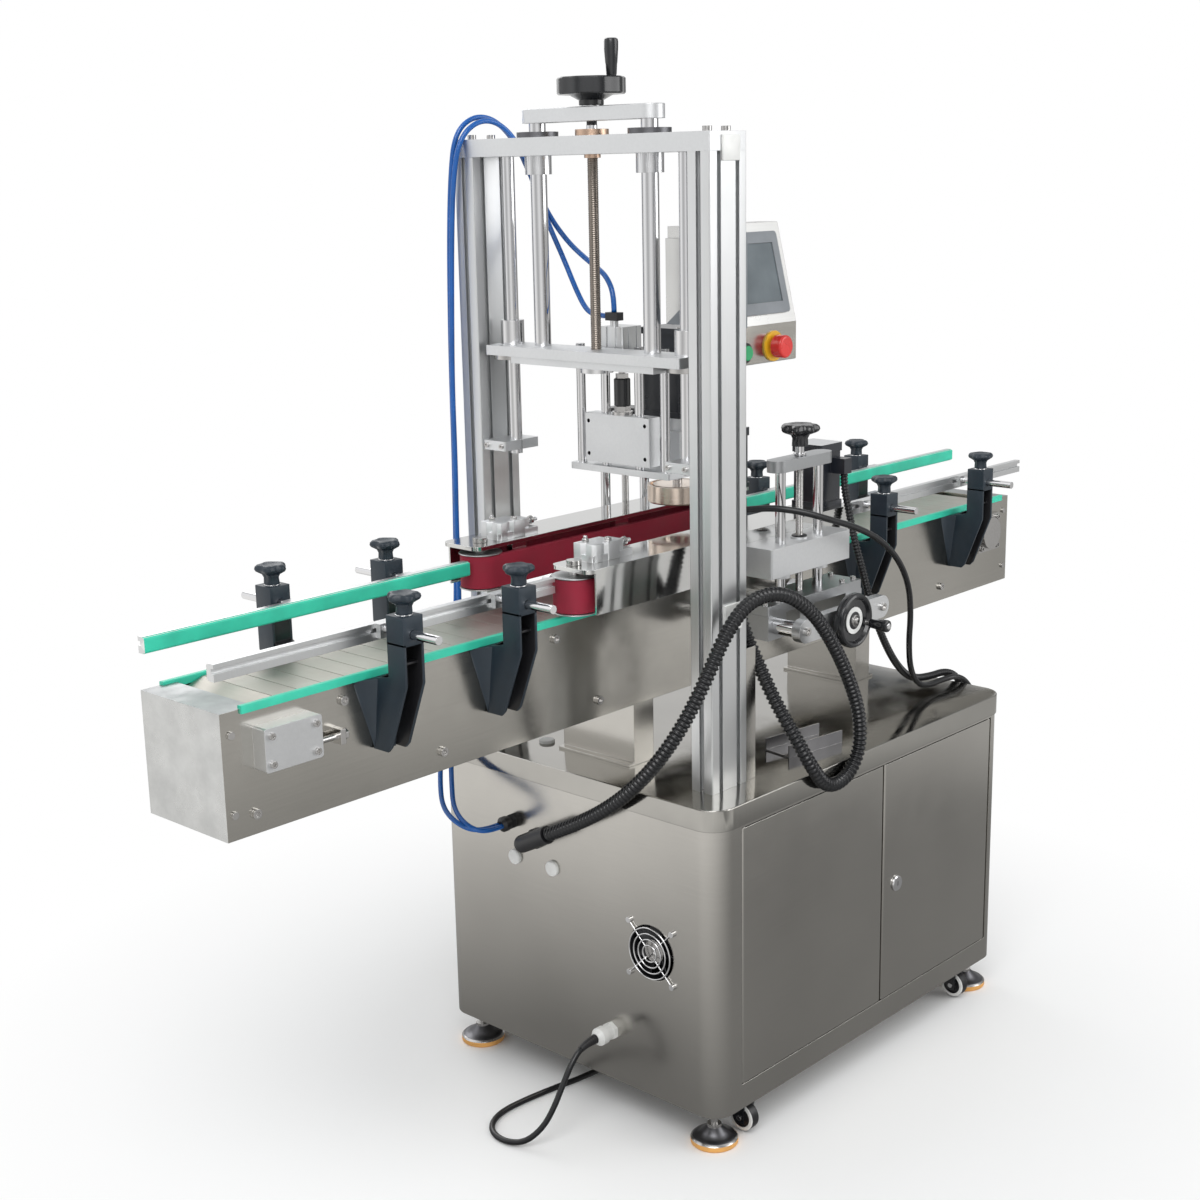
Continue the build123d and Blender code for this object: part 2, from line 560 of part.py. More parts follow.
GUARD_TOP = 745.0
BEARING_BODY_R = 20.0
BEARING_FLANGE_R = 31.0
NUT_BODY_R = 12.0
beam = block(BEAM_X, (-BEAM_LENGTH / 2, BEAM_LENGTH / 2), BEAM_Z)
beam = fillet(beam.edges().filter_by(Axis.Z), 2)
for y in (-LIFT_SHAFT_Y, LIFT_SHAFT_Y):
    beam -= rod("Z", (GANTRY_X, y), BEARING_BODY_R + SEAT_GAP, (BEAM_Z[0] - 1, BEAM_Z[1] + 1))
beam -= rod("Z", (GANTRY_X, 0), NUT_BODY_R + SEAT_GAP, (BEAM_Z[0] - 1, BEAM_Z[1] + 1))
for y in (-COLUMN_Y, COLUMN_Y):
    for x in (GANTRY_X - SLOT_PITCH / 2, GANTRY_X + SLOT_PITCH / 2):
        beam += socket_screw("Z", (x, y), BEAM_Z[1], 1, 6.5, 7)
save("top_beam", beam)

fittings = []
for side in (-1, 1):
    at = (GANTRY_X, side * LIFT_SHAFT_Y)
    bearing = rod("Z", at, BEARING_FLANGE_R, (BEAM_Z[1], BEAM_Z[1] + 8))
    bearing += rod("Z", at, BEARING_BODY_R, (BEAM_Z[0] - 27, BEAM_Z[1]))
    bearing -= rod("Z", at, LIFT_SHAFT_R + RUN_FIT, (BEAM_Z[0] - 30, BEAM_Z[1] + 10))
    for i in range(4):
        angle = pi / 4 + i * pi / 2
        spot = (at[0] + 25 * cos(angle), at[1] + 25 * sin(angle))
        bearing -= rod("Z", spot, 4.0, (BEAM_Z[1] + 4, BEAM_Z[1] + 9))
    fittings.append(bearing)
    guide = (GANTRY_X, side * GUIDE_SHAFT_Y)
    shaft = rod("Z", guide, GUIDE_SHAFT_R, (GUIDE_SHAFT_BOTTOM, BEAM_Z[0]))
    clamp = block((BEAM_X[0] + 3, BEAM_X[1] - 3), sided(side, GUIDE_SHAFT_Y - 13, COLUMN_FACE_Y),
                  GUIDE_CLAMP_Z)
    clamp = fillet(clamp.edges().filter_by(Axis.Z), 3)
    clamp -= block((GANTRY_X - 1, GANTRY_X + 1), sided(side, GUIDE_SHAFT_Y - 14, GUIDE_SHAFT_Y - 5),
                   (GUIDE_CLAMP_Z[0] - 1, GUIDE_CLAMP_Z[1] + 1))
    clamp_mid = (GUIDE_CLAMP_Z[0] + GUIDE_CLAMP_Z[1]) / 2
    clamp = clamp + shaft
    for y in (GUIDE_SHAFT_Y - 6, COLUMN_FACE_Y - 9):
        clamp += socket_screw("X", (side * y, clamp_mid), BEAM_X[0] + 3, -1, 4, 3.5)
    fittings.append(clamp)
nut = rod("Z", (GANTRY_X, 0), 24.5, (BEAM_Z[1], BEAM_Z[1] + 9))
nut += rod("Z", (GANTRY_X, 0), NUT_BODY_R, (BEAM_Z[0] - 5, BEAM_Z[1]))
nut -= rod("Z", (GANTRY_X, 0), LEAD_R + RUN_FIT, (BEAM_Z[0] - 6, BEAM_Z[1] + 10))
for i in range(6):
    angle = i * pi / 3
    nut -= rod("Z", (GANTRY_X + 18.5 * cos(angle), 18.5 * sin(angle)), 2.6,
               (BEAM_Z[1] + 4, BEAM_Z[1] + 10))
fittings.append(nut)
near_face = -COLUMN_Y - COLUMN_SECTION[1] / 2
guard = block((BEAM_X[1], BEAM_X[1] + 2), (near_face + 4, near_face + 36), (CAB_TOP, GUARD_TOP))
guard += block((BEAM_X[1], BEAM_X[1] + 23), (near_face + 2, near_face + 4), (CAB_TOP, GUARD_TOP))
fittings.append(guard)
TIE_SIZE = 38.0
fittings.append(block((GANTRY_X + 4 - TIE_SIZE / 2, GANTRY_X + 4 + TIE_SIZE / 2),
                      (near_face - 5, near_face), (801 - TIE_SIZE / 2, 801 + TIE_SIZE / 2)))
save("gantry_fittings", Compound(children=fittings))


# Lifting carriage

PLATE_BOTTOM, PLATE_TOP = CARRIAGE_PLATE_Z
HEAD_PLATE_Z = (PLATE_BOTTOM - HEAD_PLATE_THICK, PLATE_BOTTOM)
THRUST_Z = (HEAD_PLATE_Z[0] - 8.5, HEAD_PLATE_Z[0])
CYLINDER_TOP = 1200.0
carriage = block(CARRIAGE_PLATE_X, (-CARRIAGE_PLATE_Y, CARRIAGE_PLATE_Y), CARRIAGE_PLATE_Z)
carriage = fillet(carriage.edges().filter_by(Axis.Z), 4)
carriage += block((CARRIAGE_PLATE_X[0] + 5, CARRIAGE_PLATE_X[1]), (-143, 143), HEAD_PLATE_Z)
carriage += block((CARRIAGE_PLATE_X[1] - 1, TONGUE_X), (-TONGUE_Y, TONGUE_Y), HEAD_PLATE_Z)
for side in (-1, 1):
    guide = (GANTRY_X, side * GUIDE_SHAFT_Y)
    carriage += rod("Z", guide, 18, (PLATE_TOP, PLATE_TOP + 36))
    carriage += rod("Z", guide, 30, (PLATE_BOTTOM - 8, PLATE_BOTTOM))
    carriage -= rod("Z", guide, GUIDE_SHAFT_R + RUN_FIT, (PLATE_BOTTOM - 9, PLATE_TOP + 37))
    for i in range(4):
        angle = pi / 4 + i * pi / 2
        spot = (guide[0] + 24.5 * cos(angle), guide[1] + 24.5 * sin(angle))
        carriage -= rod("Z", spot, 3.6, (PLATE_BOTTOM - 9, PLATE_BOTTOM - 4.5))
carriage += rod("Z", (GANTRY_X, 0), 25, THRUST_Z)
carriage -= rod("Z", (GANTRY_X, 0), LEAD_R + RUN_FIT, (THRUST_Z[0] + 2, PLATE_TOP + 1))
cylinder = block((PRESS_X - 22, PRESS_X + 22), (-22, 22), (PLATE_BOTTOM, CYLINDER_TOP))
cylinder = fillet(cylinder.edges().filter_by(Axis.Z), 3)
for angle in (0, 90, 180, 270):
    groove = block((20, 23), (-10.5, -7.5), (PLATE_BOTTOM - 1, CYLINDER_TOP + 1))
    groove += block((20, 23), (7.5, 10.5), (PLATE_BOTTOM - 1, CYLINDER_TOP + 1))
    cylinder -= Pos(PRESS_X, 0, 0) * Rot(0, 0, angle) * groove
carriage += cylinder
FITTING = (PRESS_X - 15.0, 0.0)
carriage += rod("Z", FITTING, 6, (CYLINDER_TOP, CYLINDER_TOP + 9))
carriage += block((FITTING[0] - 7, FITTING[0] + 7), (-12, 12), (CYLINDER_TOP + 9, CYLINDER_TOP + 21))
carriage -= rod("Z", (PRESS_X, 0), PISTON_R + RUN_FIT, (HEAD_PLATE_Z[0] - 1, CYLINDER_TOP - 4))
for y in HEAD_ROD_Y:
    for side in (-1, 1):
        carriage -= rod("Z", (PRESS_X, side * y), HEAD_ROD_R + RUN_FIT,
                        (HEAD_PLATE_Z[0] - 1, PLATE_TOP + 1))
save("carriage", carriage)

link = Pos(GANTRY_X, 0, LINK_Z[0]) * Rot(0, 0, 90) * extrude(
    SlotOverall(2 * LINK_HALF_Y, LINK_WIDTH), LINK_Z[1] - LINK_Z[0])
for side in (-1, 1):
    link += rod("Z", (GANTRY_X, side * LIFT_SHAFT_Y), LIFT_SHAFT_R, (PLATE_TOP, LINK_Z[0]))
link -= rod("Z", (GANTRY_X, 0), LEAD_R + RUN_FIT, (LINK_Z[0] - 1, LINK_Z[1] + 1))
link = chamfer(link.edges().group_by(Axis.Z)[-1].filter_by(GeomType.LINE), 1)
save("carriage_shafts", link)

HUB_BOTTOM = LINK_Z[1] + 1.5
rim_bottom, rim_top = WHEEL_RIM_Z
screw = rod("Z", (GANTRY_X, 0), LEAD_R, (THRUST_Z[0] + 2 + SOFT_GAP, rim_bottom))
wheel_profile = [(0, HUB_BOTTOM), (18, HUB_BOTTOM), (18, HUB_BOTTOM + 7), (24, rim_bottom),
                 (WHEEL_R - 2, rim_bottom), (WHEEL_R, rim_bottom + 3), (WHEEL_R, rim_top - 3),
                 (WHEEL_R - 3, rim_top), (WHEEL_R - 8, rim_top), (WHEEL_R - 12, rim_bottom + 10),
                 (20, rim_bottom + 8), (17, rim_top - 4), (0, rim_top - 4)]
screw += spun((GANTRY_X, 0), wheel_profile)
grip_at = (GANTRY_X, -(WHEEL_R - 10.0))
screw += spun(grip_at, [(0, rim_top - 8), (6, rim_top - 8), (6, rim_top + 1), (7.5, rim_top + 1),
                        (8.5, rim_top + 12), (10.5, rim_top + 38), (9.5, rim_top + 46),
                        (5, rim_top + 51), (0, rim_top + 51)])
save("lead_screw", screw)


# Capping head

carrier = pillar(CARRIER_X, (-CARRIER_Y, CARRIER_Y), CARRIER_Z, 4)
for y in HEAD_ROD_Y:
    for side in (-1, 1):
        carrier += rod("Z", (PRESS_X, side * y), HEAD_ROD_R, (CARRIER_Z[1] - 1, HEAD_ROD_TOP))
carrier -= rod("Z", (SPINDLE_X, 0), SPINDLE_R + RUN_FIT, (CARRIER_Z[0] - 1, CARRIER_Z[1] + 1))
save("head_carrier", carrier)

press = block(PRESS_BOX_X, (-PRESS_BOX_Y, PRESS_BOX_Y), PRESS_BOX_Z)
press = chamfer(press.edges().filter_by(Axis.Z), 1.5)
for side in (-1, 1):
    press -= rod("Z", (PRESS_X, side * HEAD_ROD_Y[0]), HEAD_ROD_R + RUN_FIT,
                 (PRESS_BOX_Z[0] - 1, PRESS_BOX_Z[1] + 1))
    for z in (PRESS_BOX_Z[0] + 12, PRESS_BOX_Z[1] - 12):
        press -= rod("X", (side * (PRESS_BOX_Y - 8), z), 3.0, (PRESS_BOX_X[0] - 1, PRESS_BOX_X[0] + 6))
JOINT_Z = (1080.0, 1122.0)
press += rod("Z", (PRESS_X, 0), 16, (PRESS_BOX_Z[1], PRESS_BOX_Z[1] + 5))
press += hexagon("Z", (PRESS_X, 0), 22, (PRESS_BOX_Z[1] + 5, JOINT_Z[0]))
joint_body = rod("Z", (PRESS_X, 0), 12.5, JOINT_Z)
press += chamfer(joint_body.edges().filter_by(GeomType.CIRCLE), 1.5)
press += hexagon("Z", (PRESS_X, 0), 17, (JOINT_Z[1], JOINT_Z[1] + 7))
press += rod("Z", (PRESS_X, 0), PISTON_R, (JOINT_Z[1], CYLINDER_TOP - 25))
save("press_block", press)

half = SERVO_SIZE / 2
servo_x = (SPINDLE_X - half, SPINDLE_X + half)
motor = pillar(servo_x, (-half, half), (CARRIER_Z[1], COUPLING_TOP), 3)
motor -= rod("Z", (SPINDLE_X, 0), 27, (CARRIER_Z[1] - 1, COUPLING_TOP - 6))
motor -= pillar((servo_x[0] - 1, SPINDLE_X), (-9, 9), (CARRIER_Z[1] + 12, COUPLING_TOP - 12), 3)
motor -= rod("Z", (SPINDLE_X, 0), 12, (COUPLING_TOP - 7, COUPLING_TOP + 1))
motor += rod("Z", (SPINDLE_X, 0), 35, (COUPLING_TOP, SERVO_BOTTOM)) - rod(
    "Z", (SPINDLE_X, 0), 12, (COUPLING_TOP - 1, SERVO_BOTTOM - 8))
servo = pillar(servo_x, (-half, half), (SERVO_BOTTOM, SERVO_BOTTOM + 9), 4)
servo += pillar((servo_x[0] + 2, servo_x[1] - 2), (-half + 2, half - 2),
                (SERVO_BOTTOM + 9, SERVO_TOP - 10), 6)
servo += pillar(servo_x, (-half, half), (SERVO_TOP - 10, SERVO_TOP), 5)
for x in (servo_x[0] + 7, servo_x[1] - 7):
    for y in (-half + 7, half - 7):
        servo += socket_screw("Z", (x, y), SERVO_TOP, 1, 3.5, 2)
motor += servo
save("head_motor", motor)

chuck_bottom, chuck_top = CHUCK_Z
chuck = spun((SPINDLE_X, 0), [
    (SPINDLE_R, chuck_top), (CHUCK_R - 9, chuck_top), (CHUCK_R - 9, chuck_top - 5),
    (CHUCK_R - 4, chuck_top - 5), (CHUCK_R - 4, chuck_top), (CHUCK_R, chuck_top),
    (CHUCK_R, chuck_bottom + 2), (CHUCK_R - 2, chuck_bottom), (26, chuck_bottom),
    (21, chuck_bottom + 15), (0, chuck_bottom + 15), (0, chuck_top)])
chuck += rod("Z", (SPINDLE_X, 0), SPINDLE_R, (chuck_top - 2, COUPLING_TOP + 8))
chuck += rod("Z", (SPINDLE_X, 0), 20, (CARRIER_Z[1] + 4, COUPLING_TOP - 9))
save("chuck", chuck)


# Conveyor frame

plate_y = (CONV_HALF_Y - CONV_SHEET, CONV_HALF_Y)
plate_cut = (plate_y[0] - 1, plate_y[1] + 1)
conveyor = None
for side in (-1, 1):
    plate = block(CONV_X, sided(side, *plate_y), CONV_Z)
    plate += block((CONV_X[0] + 4, CONV_X[1] - 4), sided(side, CONV_HALF_Y - 22, CONV_HALF_Y),
                   (CONV_Z[0], CONV_Z[0] + CONV_SHEET))
    plate -= rod("Y", (DRIVE_X, CHAIN_AXIS_Z), CONV_SHAFT_R + 1, sided(side, *plate_cut))
    plate -= block((IDLE_X - 32, IDLE_X + 26), sided(side, *plate_cut),
                   (CHAIN_AXIS_Z - CONV_SHAFT_R - 1, CHAIN_AXIS_Z + CONV_SHAFT_R + 1))
    strip = block((CONV_X[0] + 30, CONV_X[1] - 26), sided(side, CONV_HALF_Y - 4.5, CONV_HALF_Y + 3.5),
                  (CONV_Z[1] - 6, STRIP_TOP))
    plate += fillet(strip.edges().filter_by(Axis.X).group_by(Axis.Z)[-1], 1.5)
    conveyor = plate if conveyor is None else conveyor + plate
for x_out, inward, reach in ((CONV_X[0], 1, 50.0), (CONV_X[1], -1, 38.0)):
    conveyor += block((x_out, x_out + inward * CONV_SHEET), (-CONV_HALF_Y, CONV_HALF_Y), CONV_Z)
    conveyor += block((x_out, x_out + inward * reach), (-CONV_HALF_Y, CONV_HALF_Y),
                      (CONV_Z[1] - CONV_SHEET, CONV_Z[1]))
UPPER_TIES = (-748.0, -362.0, 24.0, 410.0, 700.0)
LOWER_TIES = (-892.0, -583.0, -274.0, 35.0, 344.0, 653.0)
UPPER_TIE_Z = CHAIN_TOP - UPPER_TIE_DROP
LOWER_TIE_Z = CHAIN_LOW - LOWER_TIE_DROP
COVER_SCREWS = ((CONV_X[0] + 14, 776.0), (CONV_X[0] + 12, 675.0),
                (CONV_X[1] - 16, 779.0), (CONV_X[1] - 13, 671.0))
for xs, z in ((UPPER_TIES, UPPER_TIE_Z), (LOWER_TIES, LOWER_TIE_Z)):
    for x in xs:
        conveyor += rod("Y", (x, z), 6, (-CONV_HALF_Y, CONV_HALF_Y))
for side in (-1, 1):
    face = side * CONV_HALF_Y
    heads = [(x, UPPER_TIE_Z) for x in UPPER_TIES] + [(x, LOWER_TIE_Z) for x in LOWER_TIES]
    for at in heads:
        conveyor += socket_screw("Y", at, face, side, 6.5, 5)
    for at in COVER_SCREWS:
        conveyor += rod("Y", at, 5, (face, face + side * 3))
slat_under = CHAIN_TOP - SLAT_THICK
for side in (-1, 1):
    y = sided(side, 52, 64)
    conveyor += block((IDLE_X + 40, DRIVE_X - 40), y, (UPPER_TIE_Z + 5, slat_under - SOFT_GAP))
    conveyor += block((IDLE_X + 40, DRIVE_X - 40), y, (LOWER_TIE_Z + 4, CHAIN_LOW - SOFT_GAP))
for x in CONV_POST_X:
    post = block(x, (-CONV_POST_Y, CONV_POST_Y), (CAB_TOP, CONV_Z[0]))
    post -= block((x[0] + 3, x[1] - 3), (-CONV_POST_Y + 3, CONV_POST_Y - 3), (CAB_TOP + 4, CONV_Z[0] + 1))
    post += block((x[0] - 12, x[1] + 12), (-CONV_POST_Y, CONV_POST_Y), (CAB_TOP, CAB_TOP + 4))
    conveyor += post

TAKEUP_X = (-889.0, -801.0)
TAKEUP_Z = (724.0, 780.0)
TAKEUP_DEPTH = 24.0
for side in (-1, 1):
    outer = CONV_HALF_Y + TAKEUP_DEPTH
    housing = block(TAKEUP_X, sided(side, CONV_HALF_Y, outer), TAKEUP_Z)
    housing = fillet(housing.edges().filter_by(Axis.Y), 4)
    housing -= rod("Y", (IDLE_X, CHAIN_AXIS_Z), CONV_SHAFT_R + RUN_FIT,
                   sided(side, plate_cut[0], outer - 6))
    for x in (TAKEUP_X[0] + 10, TAKEUP_X[1] - 10):
        for z in (TAKEUP_Z[0] + 10, TAKEUP_Z[1] - 10):
            housing += socket_screw("Y", (x, z), side * outer, side, 4.5, 4)
    screw_y = side * (CONV_HALF_Y + 9)
    housing += rod("X", (screw_y, CHAIN_AXIS_Z - 7), 4, (TAKEUP_X[1] - 2, -752))
    housing += block((-768, -760), sided(side, CONV_HALF_Y, CONV_HALF_Y + 18),
                     (CHAIN_AXIS_Z - 17, CHAIN_AXIS_Z + 3))
    housing += hexagon("X", (screw_y, CHAIN_AXIS_Z - 7), 13, (-760, -753))
    conveyor += housing
bearing = rod("Y", (DRIVE_X, CHAIN_AXIS_Z), 30, (-CONV_HALF_Y - 16, -CONV_HALF_Y))
bearing += block((DRIVE_X - 35, DRIVE_X + 35), (-CONV_HALF_Y - 8, -CONV_HALF_Y),
                 (CHAIN_AXIS_Z - 35, CHAIN_AXIS_Z + 35))
bearing -= rod("Y", (DRIVE_X, CHAIN_AXIS_Z), CONV_SHAFT_R + RUN_FIT, (-CONV_HALF_Y - 12, -plate_cut[0]))
for dx in (-27, 27):
    for dz in (-27, 27):
        bearing += socket_screw("Y", (DRIVE_X + dx, CHAIN_AXIS_Z + dz), -CONV_HALF_Y - 8, -1, 5, 5)
conveyor += bearing
save("conveyor_frame", conveyor)


# Slat chain and its shafts

CHAIN_R = CHAIN_TOP - CHAIN_AXIS_Z
run = DRIVE_X - IDLE_X
loop_length = 2 * run + 2 * pi * CHAIN_R
slat_count = round(loop_length / CHAIN_PITCH)
slat_pitch = loop_length / slat_count


def chain_point(along, depth):
    """Point of the chain loop at a length along it and a depth under its outer face."""
    along %= loop_length
    r = CHAIN_R - depth
    turn_length = pi * CHAIN_R
    if along < run:
        return (IDLE_X + along, CHAIN_AXIS_Z + r)
    if along < run + turn_length:
        angle = pi / 2 - (along - run) / CHAIN_R
        return (DRIVE_X + r * cos(angle), CHAIN_AXIS_Z + r * sin(angle))
    if along < 2 * run + turn_length:
        return (DRIVE_X - (along - run - turn_length), CHAIN_AXIS_Z - r)
    angle = -pi / 2 - (along - 2 * run - turn_length) / CHAIN_R
    return (IDLE_X + r * cos(angle), CHAIN_AXIS_Z + r * sin(angle))


notch_width, notch_depth = SLAT_NOTCH
outer, inner = [], []
for i in range(slat_count):
    start, end = i * slat_pitch + notch_width / 2, (i + 1) * slat_pitch - notch_width / 2
    outer += [chain_point(start, 0), chain_point(end, 0), chain_point(end, notch_depth),
              chain_point(end + notch_width, notch_depth)]
    inner.append(chain_point(i * slat_pitch, SLAT_THICK))
slats = make_face(Plane.XZ * Polyline(*outer, close=True))
slats -= make_face(Plane.XZ * Polyline(*inner, close=True))
chain = Pos(0, CHAIN_HALF_Y, 0) * extrude(slats, 2 * CHAIN_HALF_Y, dir=(0, -1, 0))
knuckles = SlotCenterToCenter(run, 2 * (CHAIN_R - SLAT_THICK + 0.5))
knuckles -= SlotCenterToCenter(run, 2 * (CHAIN_R - KNUCKLE_DEPTH))
middle = Pos((IDLE_X + DRIVE_X) / 2, KNUCKLE_HALF_Y, CHAIN_AXIS_Z) * Rot(90, 0, 0)
chain += middle * extrude(knuckles, 2 * KNUCKLE_HALF_Y)
save("slat_chain", chain)


def conveyor_shaft(x, span):
    """Shaft with its sprocket in the middle."""
    hub_r = CHAIN_R - KNUCKLE_DEPTH - SOFT_GAP
    shaft = rod("Y", (x, CHAIN_AXIS_Z), CONV_SHAFT_R, span)
    wheel = rod("Y", (x, CHAIN_AXIS_Z), hub_r, (-KNUCKLE_HALF_Y, KNUCKLE_HALF_Y))
    for i in range(9):
        angle = 2 * pi * i / 9
        wheel -= rod("Y", (x + hub_r * cos(angle), CHAIN_AXIS_Z + hub_r * sin(angle)), 4, (-30, 30))
    return shaft + wheel + rod("Y", (x, CHAIN_AXIS_Z), 22, (-34, 34))


GEARBOX_Y = (CONV_HALF_Y + 3.3, CONV_HALF_Y + 115.3)
MOTOR_DROP = 63.0
save("conveyor_idle_shaft", conveyor_shaft(IDLE_X, (-100, 100)))
save("conveyor_drive_shaft", conveyor_shaft(DRIVE_X, (-CONV_HALF_Y - 11, GEARBOX_Y[1] + 4)))

gearbox = block((DRIVE_X - 50, DRIVE_X + 50), (GEARBOX_Y[0] + 6, GEARBOX_Y[1] - 6),
                (CHAIN_AXIS_Z - MOTOR_DROP - 48, CHAIN_AXIS_Z + 46))
gearbox = fillet(gearbox.edges().filter_by(Axis.Y), 16)
gearbox += rod("Y", (DRIVE_X, CHAIN_AXIS_Z), 42, (GEARBOX_Y[0], GEARBOX_Y[1]))
gearbox += rod("Y", (DRIVE_X, CHAIN_AXIS_Z), 26, (CONV_HALF_Y, GEARBOX_Y[1] + 3))
gearbox -= rod("Y", (DRIVE_X, CHAIN_AXIS_Z), CONV_SHAFT_R + RUN_FIT, (CONV_HALF_Y - 2, GEARBOX_Y[1] + 9))
motor_axis = ((GEARBOX_Y[0] + GEARBOX_Y[1]) / 2, CHAIN_AXIS_Z - MOTOR_DROP)
gearmotor = gearbox + rod("X", motor_axis, 43, (DRIVE_X - 62, DRIVE_X - 49))
gearmotor += rod("X", motor_axis, 38, (DRIVE_X - 218, DRIVE_X - 61))
for x in range(-208, -72, 12):
    gearmotor += rod("X", motor_axis, 42, (DRIVE_X + x, DRIVE_X + x + 4))
gearmotor += rod("X", motor_axis, 42.5, (DRIVE_X - 248, DRIVE_X - 215))
gearmotor += block((DRIVE_X - 170, DRIVE_X - 90), (motor_axis[0] + 34, motor_axis[0] + 66),
                   (motor_axis[1] - 30, motor_axis[1] + 25))
save("conveyor_gearmotor", gearmotor)


# Rail brackets and guide rails

FOOT_OUTLINE = ((-72.0, 803.0), (50.0, 780.0), (-18.0, 703.0), (-30.0, 703.0))
COLUMN_OUTLINE = ((0.0, 806.0), (0.0, 752.0), (17.3, 745.0), (69.3, 848.0),
                  (69.3, 889.0), (23.3, 889.0), (23.3, 862.0), (7.3, 806.0))
BRACKET_SPAN = (-38.0, 21.0)
BRACKET_WALL = 4.0
BRACKET_TOP = 889.0


def rail_bracket(x, side):
    """Moulded bracket, open at the back, with its clamping knob."""
    foot_face = make_face(Polyline(*FOOT_OUTLINE, close=True))
    foot_face = fillet(foot_face.vertices(), 5)
    foot = Rot(90, 0, 0) * extrude(foot_face, 14.0, dir=(0, 0, 1))
    foot = Pos(x, side * CONV_HALF_Y + (14.0 if side > 0 else 0), 0) * foot
    outline = [(CONV_HALF_Y + depth, z) for depth, z in COLUMN_OUTLINE]
    profile = make_face(Plane.YZ * Polyline(*outline, close=True))
    hollow = offset(profile, -BRACKET_WALL)
    width = BRACKET_SPAN[1] - BRACKET_SPAN[0]
    column = Pos(x + BRACKET_SPAN[0], 0, 0) * extrude(profile, width, dir=(1, 0, 0))
    column -= Pos(x + BRACKET_SPAN[0] + BRACKET_WALL, 0, 0) * extrude(hollow, width, dir=(1, 0, 0))
    column += rod("Y", (x, RAIL_ROD_Z), 12, (outline[5][0], outline[4][0]))
    if side < 0:
        column = mirror(column, Plane.XZ)
    body = foot + column
    body -= block((x - 80, x + 60), sided(side, CONV_HALF_Y - 1, CONV_HALF_Y + 3.5 + SOFT_GAP),
                  (CONV_Z[1] - 6 - SOFT_GAP, STRIP_TOP + SOFT_GAP))
    for tie_x in UPPER_TIES:
        if abs(tie_x - x) < 80:
            body -= rod("Y", (tie_x, UPPER_TIE_Z), 7.5, sided(side, CONV_HALF_Y - 1, CONV_HALF_Y + 6))
    body -= rod("Y", (x, RAIL_ROD_Z), RAIL_ROD_R + RUN_FIT,
                sided(side, outline[5][0] - 11, outline[4][0] + 8))
    for spot in ((x - 50, 788.0), (x + 32, 779.0)):
        body += rod("Y", spot, 6, (side * (CONV_HALF_Y + 14), side * (CONV_HALF_Y + 18)))
    at = (x, side * (outline[4][0] + outline[5][0]) / 2)
    body += rod("Z", at, 11, (BRACKET_TOP - 2, BRACKET_TOP + 6))
    body += star(at, 25, (BRACKET_TOP + 5, BRACKET_TOP + 23))
    return body


save("rail_brackets", Compound(children=[rail_bracket(x, s) for x in BRACKET_X for s in (-1, 1)]))

for name, (side, span, rod_xs) in RAIL_SPANS.items():
    back = block(span, sided(side, RAIL_Y[0] + RAIL_STRIP, RAIL_Y[1]), RAIL_Z)
    back -= block((span[0] - 1, span[1] + 1), sided(side, RAIL_Y[1] - 5, RAIL_Y[1] + 1),
                  (RAIL_ROD_Z - 4, RAIL_ROD_Z + 2))
    strip = block(span, sided(side, RAIL_Y[0], RAIL_Y[0] + RAIL_STRIP), (RAIL_Z[0] + 1, RAIL_Z[1] - 1))
    inner_edges = strip.edges().filter_by(Axis.X).group_by(Axis.Y)[0 if side > 0 else -1]
    rail = back + fillet(inner_edges, 2.5)
    for x in rod_xs:
        rail += rod("Y", (x, RAIL_ROD_Z), RAIL_ROD_R, sided(side, RAIL_Y[1] - 6, RAIL_ROD_END))
        rail += block((x - 12, x + 12), sided(side, RAIL_Y[1], RAIL_Y[1] + 8),
                      (RAIL_Z[0] + 3, RAIL_Z[1]))
    save(name, rail)


# Cross slides, fixed part

cross_fixed = []
for side in (-1, 1):
    ends = Rot(90, 0, 0) * extrude(SlotOverall(2 * END_PLATE_HALF_X, 2 * END_PLATE_HALF_Z),
                                   END_PLATE_Y[1] - END_PLATE_Y[0])
    top_y = END_PLATE_Y[1] if side > 0 else -END_PLATE_Y[0]
    rails = Pos(ADJUST_X, top_y, CROSS_SHAFT_Z) * ends
    for x in (ADJUST_X - SLIDE_SPREAD, ADJUST_X + SLIDE_SPREAD):
        rails += rod("Y", (x, CROSS_SHAFT_Z), CROSS_SHAFT_R,
                     sided(side, CROSS_SHAFT_START, END_PLATE_Y[1] - 2))
        rails += rod("Y", (x, CROSS_SHAFT_Z), 20, sided(side, CROSS_SHAFT_START, CROSS_SHAFT_START + 11))
        rails += socket_screw("Y", (x, CROSS_SHAFT_Z), side * END_PLATE_Y[1], side, 6.5, 4)
    rails -= rod("Y", (ADJUST_X, CROSS_SHAFT_Z), CROSS_SCREW_R + RUN_FIT, sided(side, 250, 280))
    inner_end = block((ADJUST_X - 16, ADJUST_X + 16),
                      sided(side, CROSS_SHAFT_START, CROSS_SHAFT_START + 20),
                      (CROSS_SHAFT_Z - 16, CROSS_SHAFT_Z + 16))
    inner_end -= rod("Y", (ADJUST_X, CROSS_SHAFT_Z), CROSS_SCREW_R + RUN_FIT,
                     sided(side, CROSS_SHAFT_START + 5, CROSS_SHAFT_START + 21))
    cross_fixed += [rails, inner_end]
save("cross_slide_rails", Compound(children=cross_fixed))


# Side belt units with their adjustment

def side_name(side):
    return "near" if side < 0 else "far"


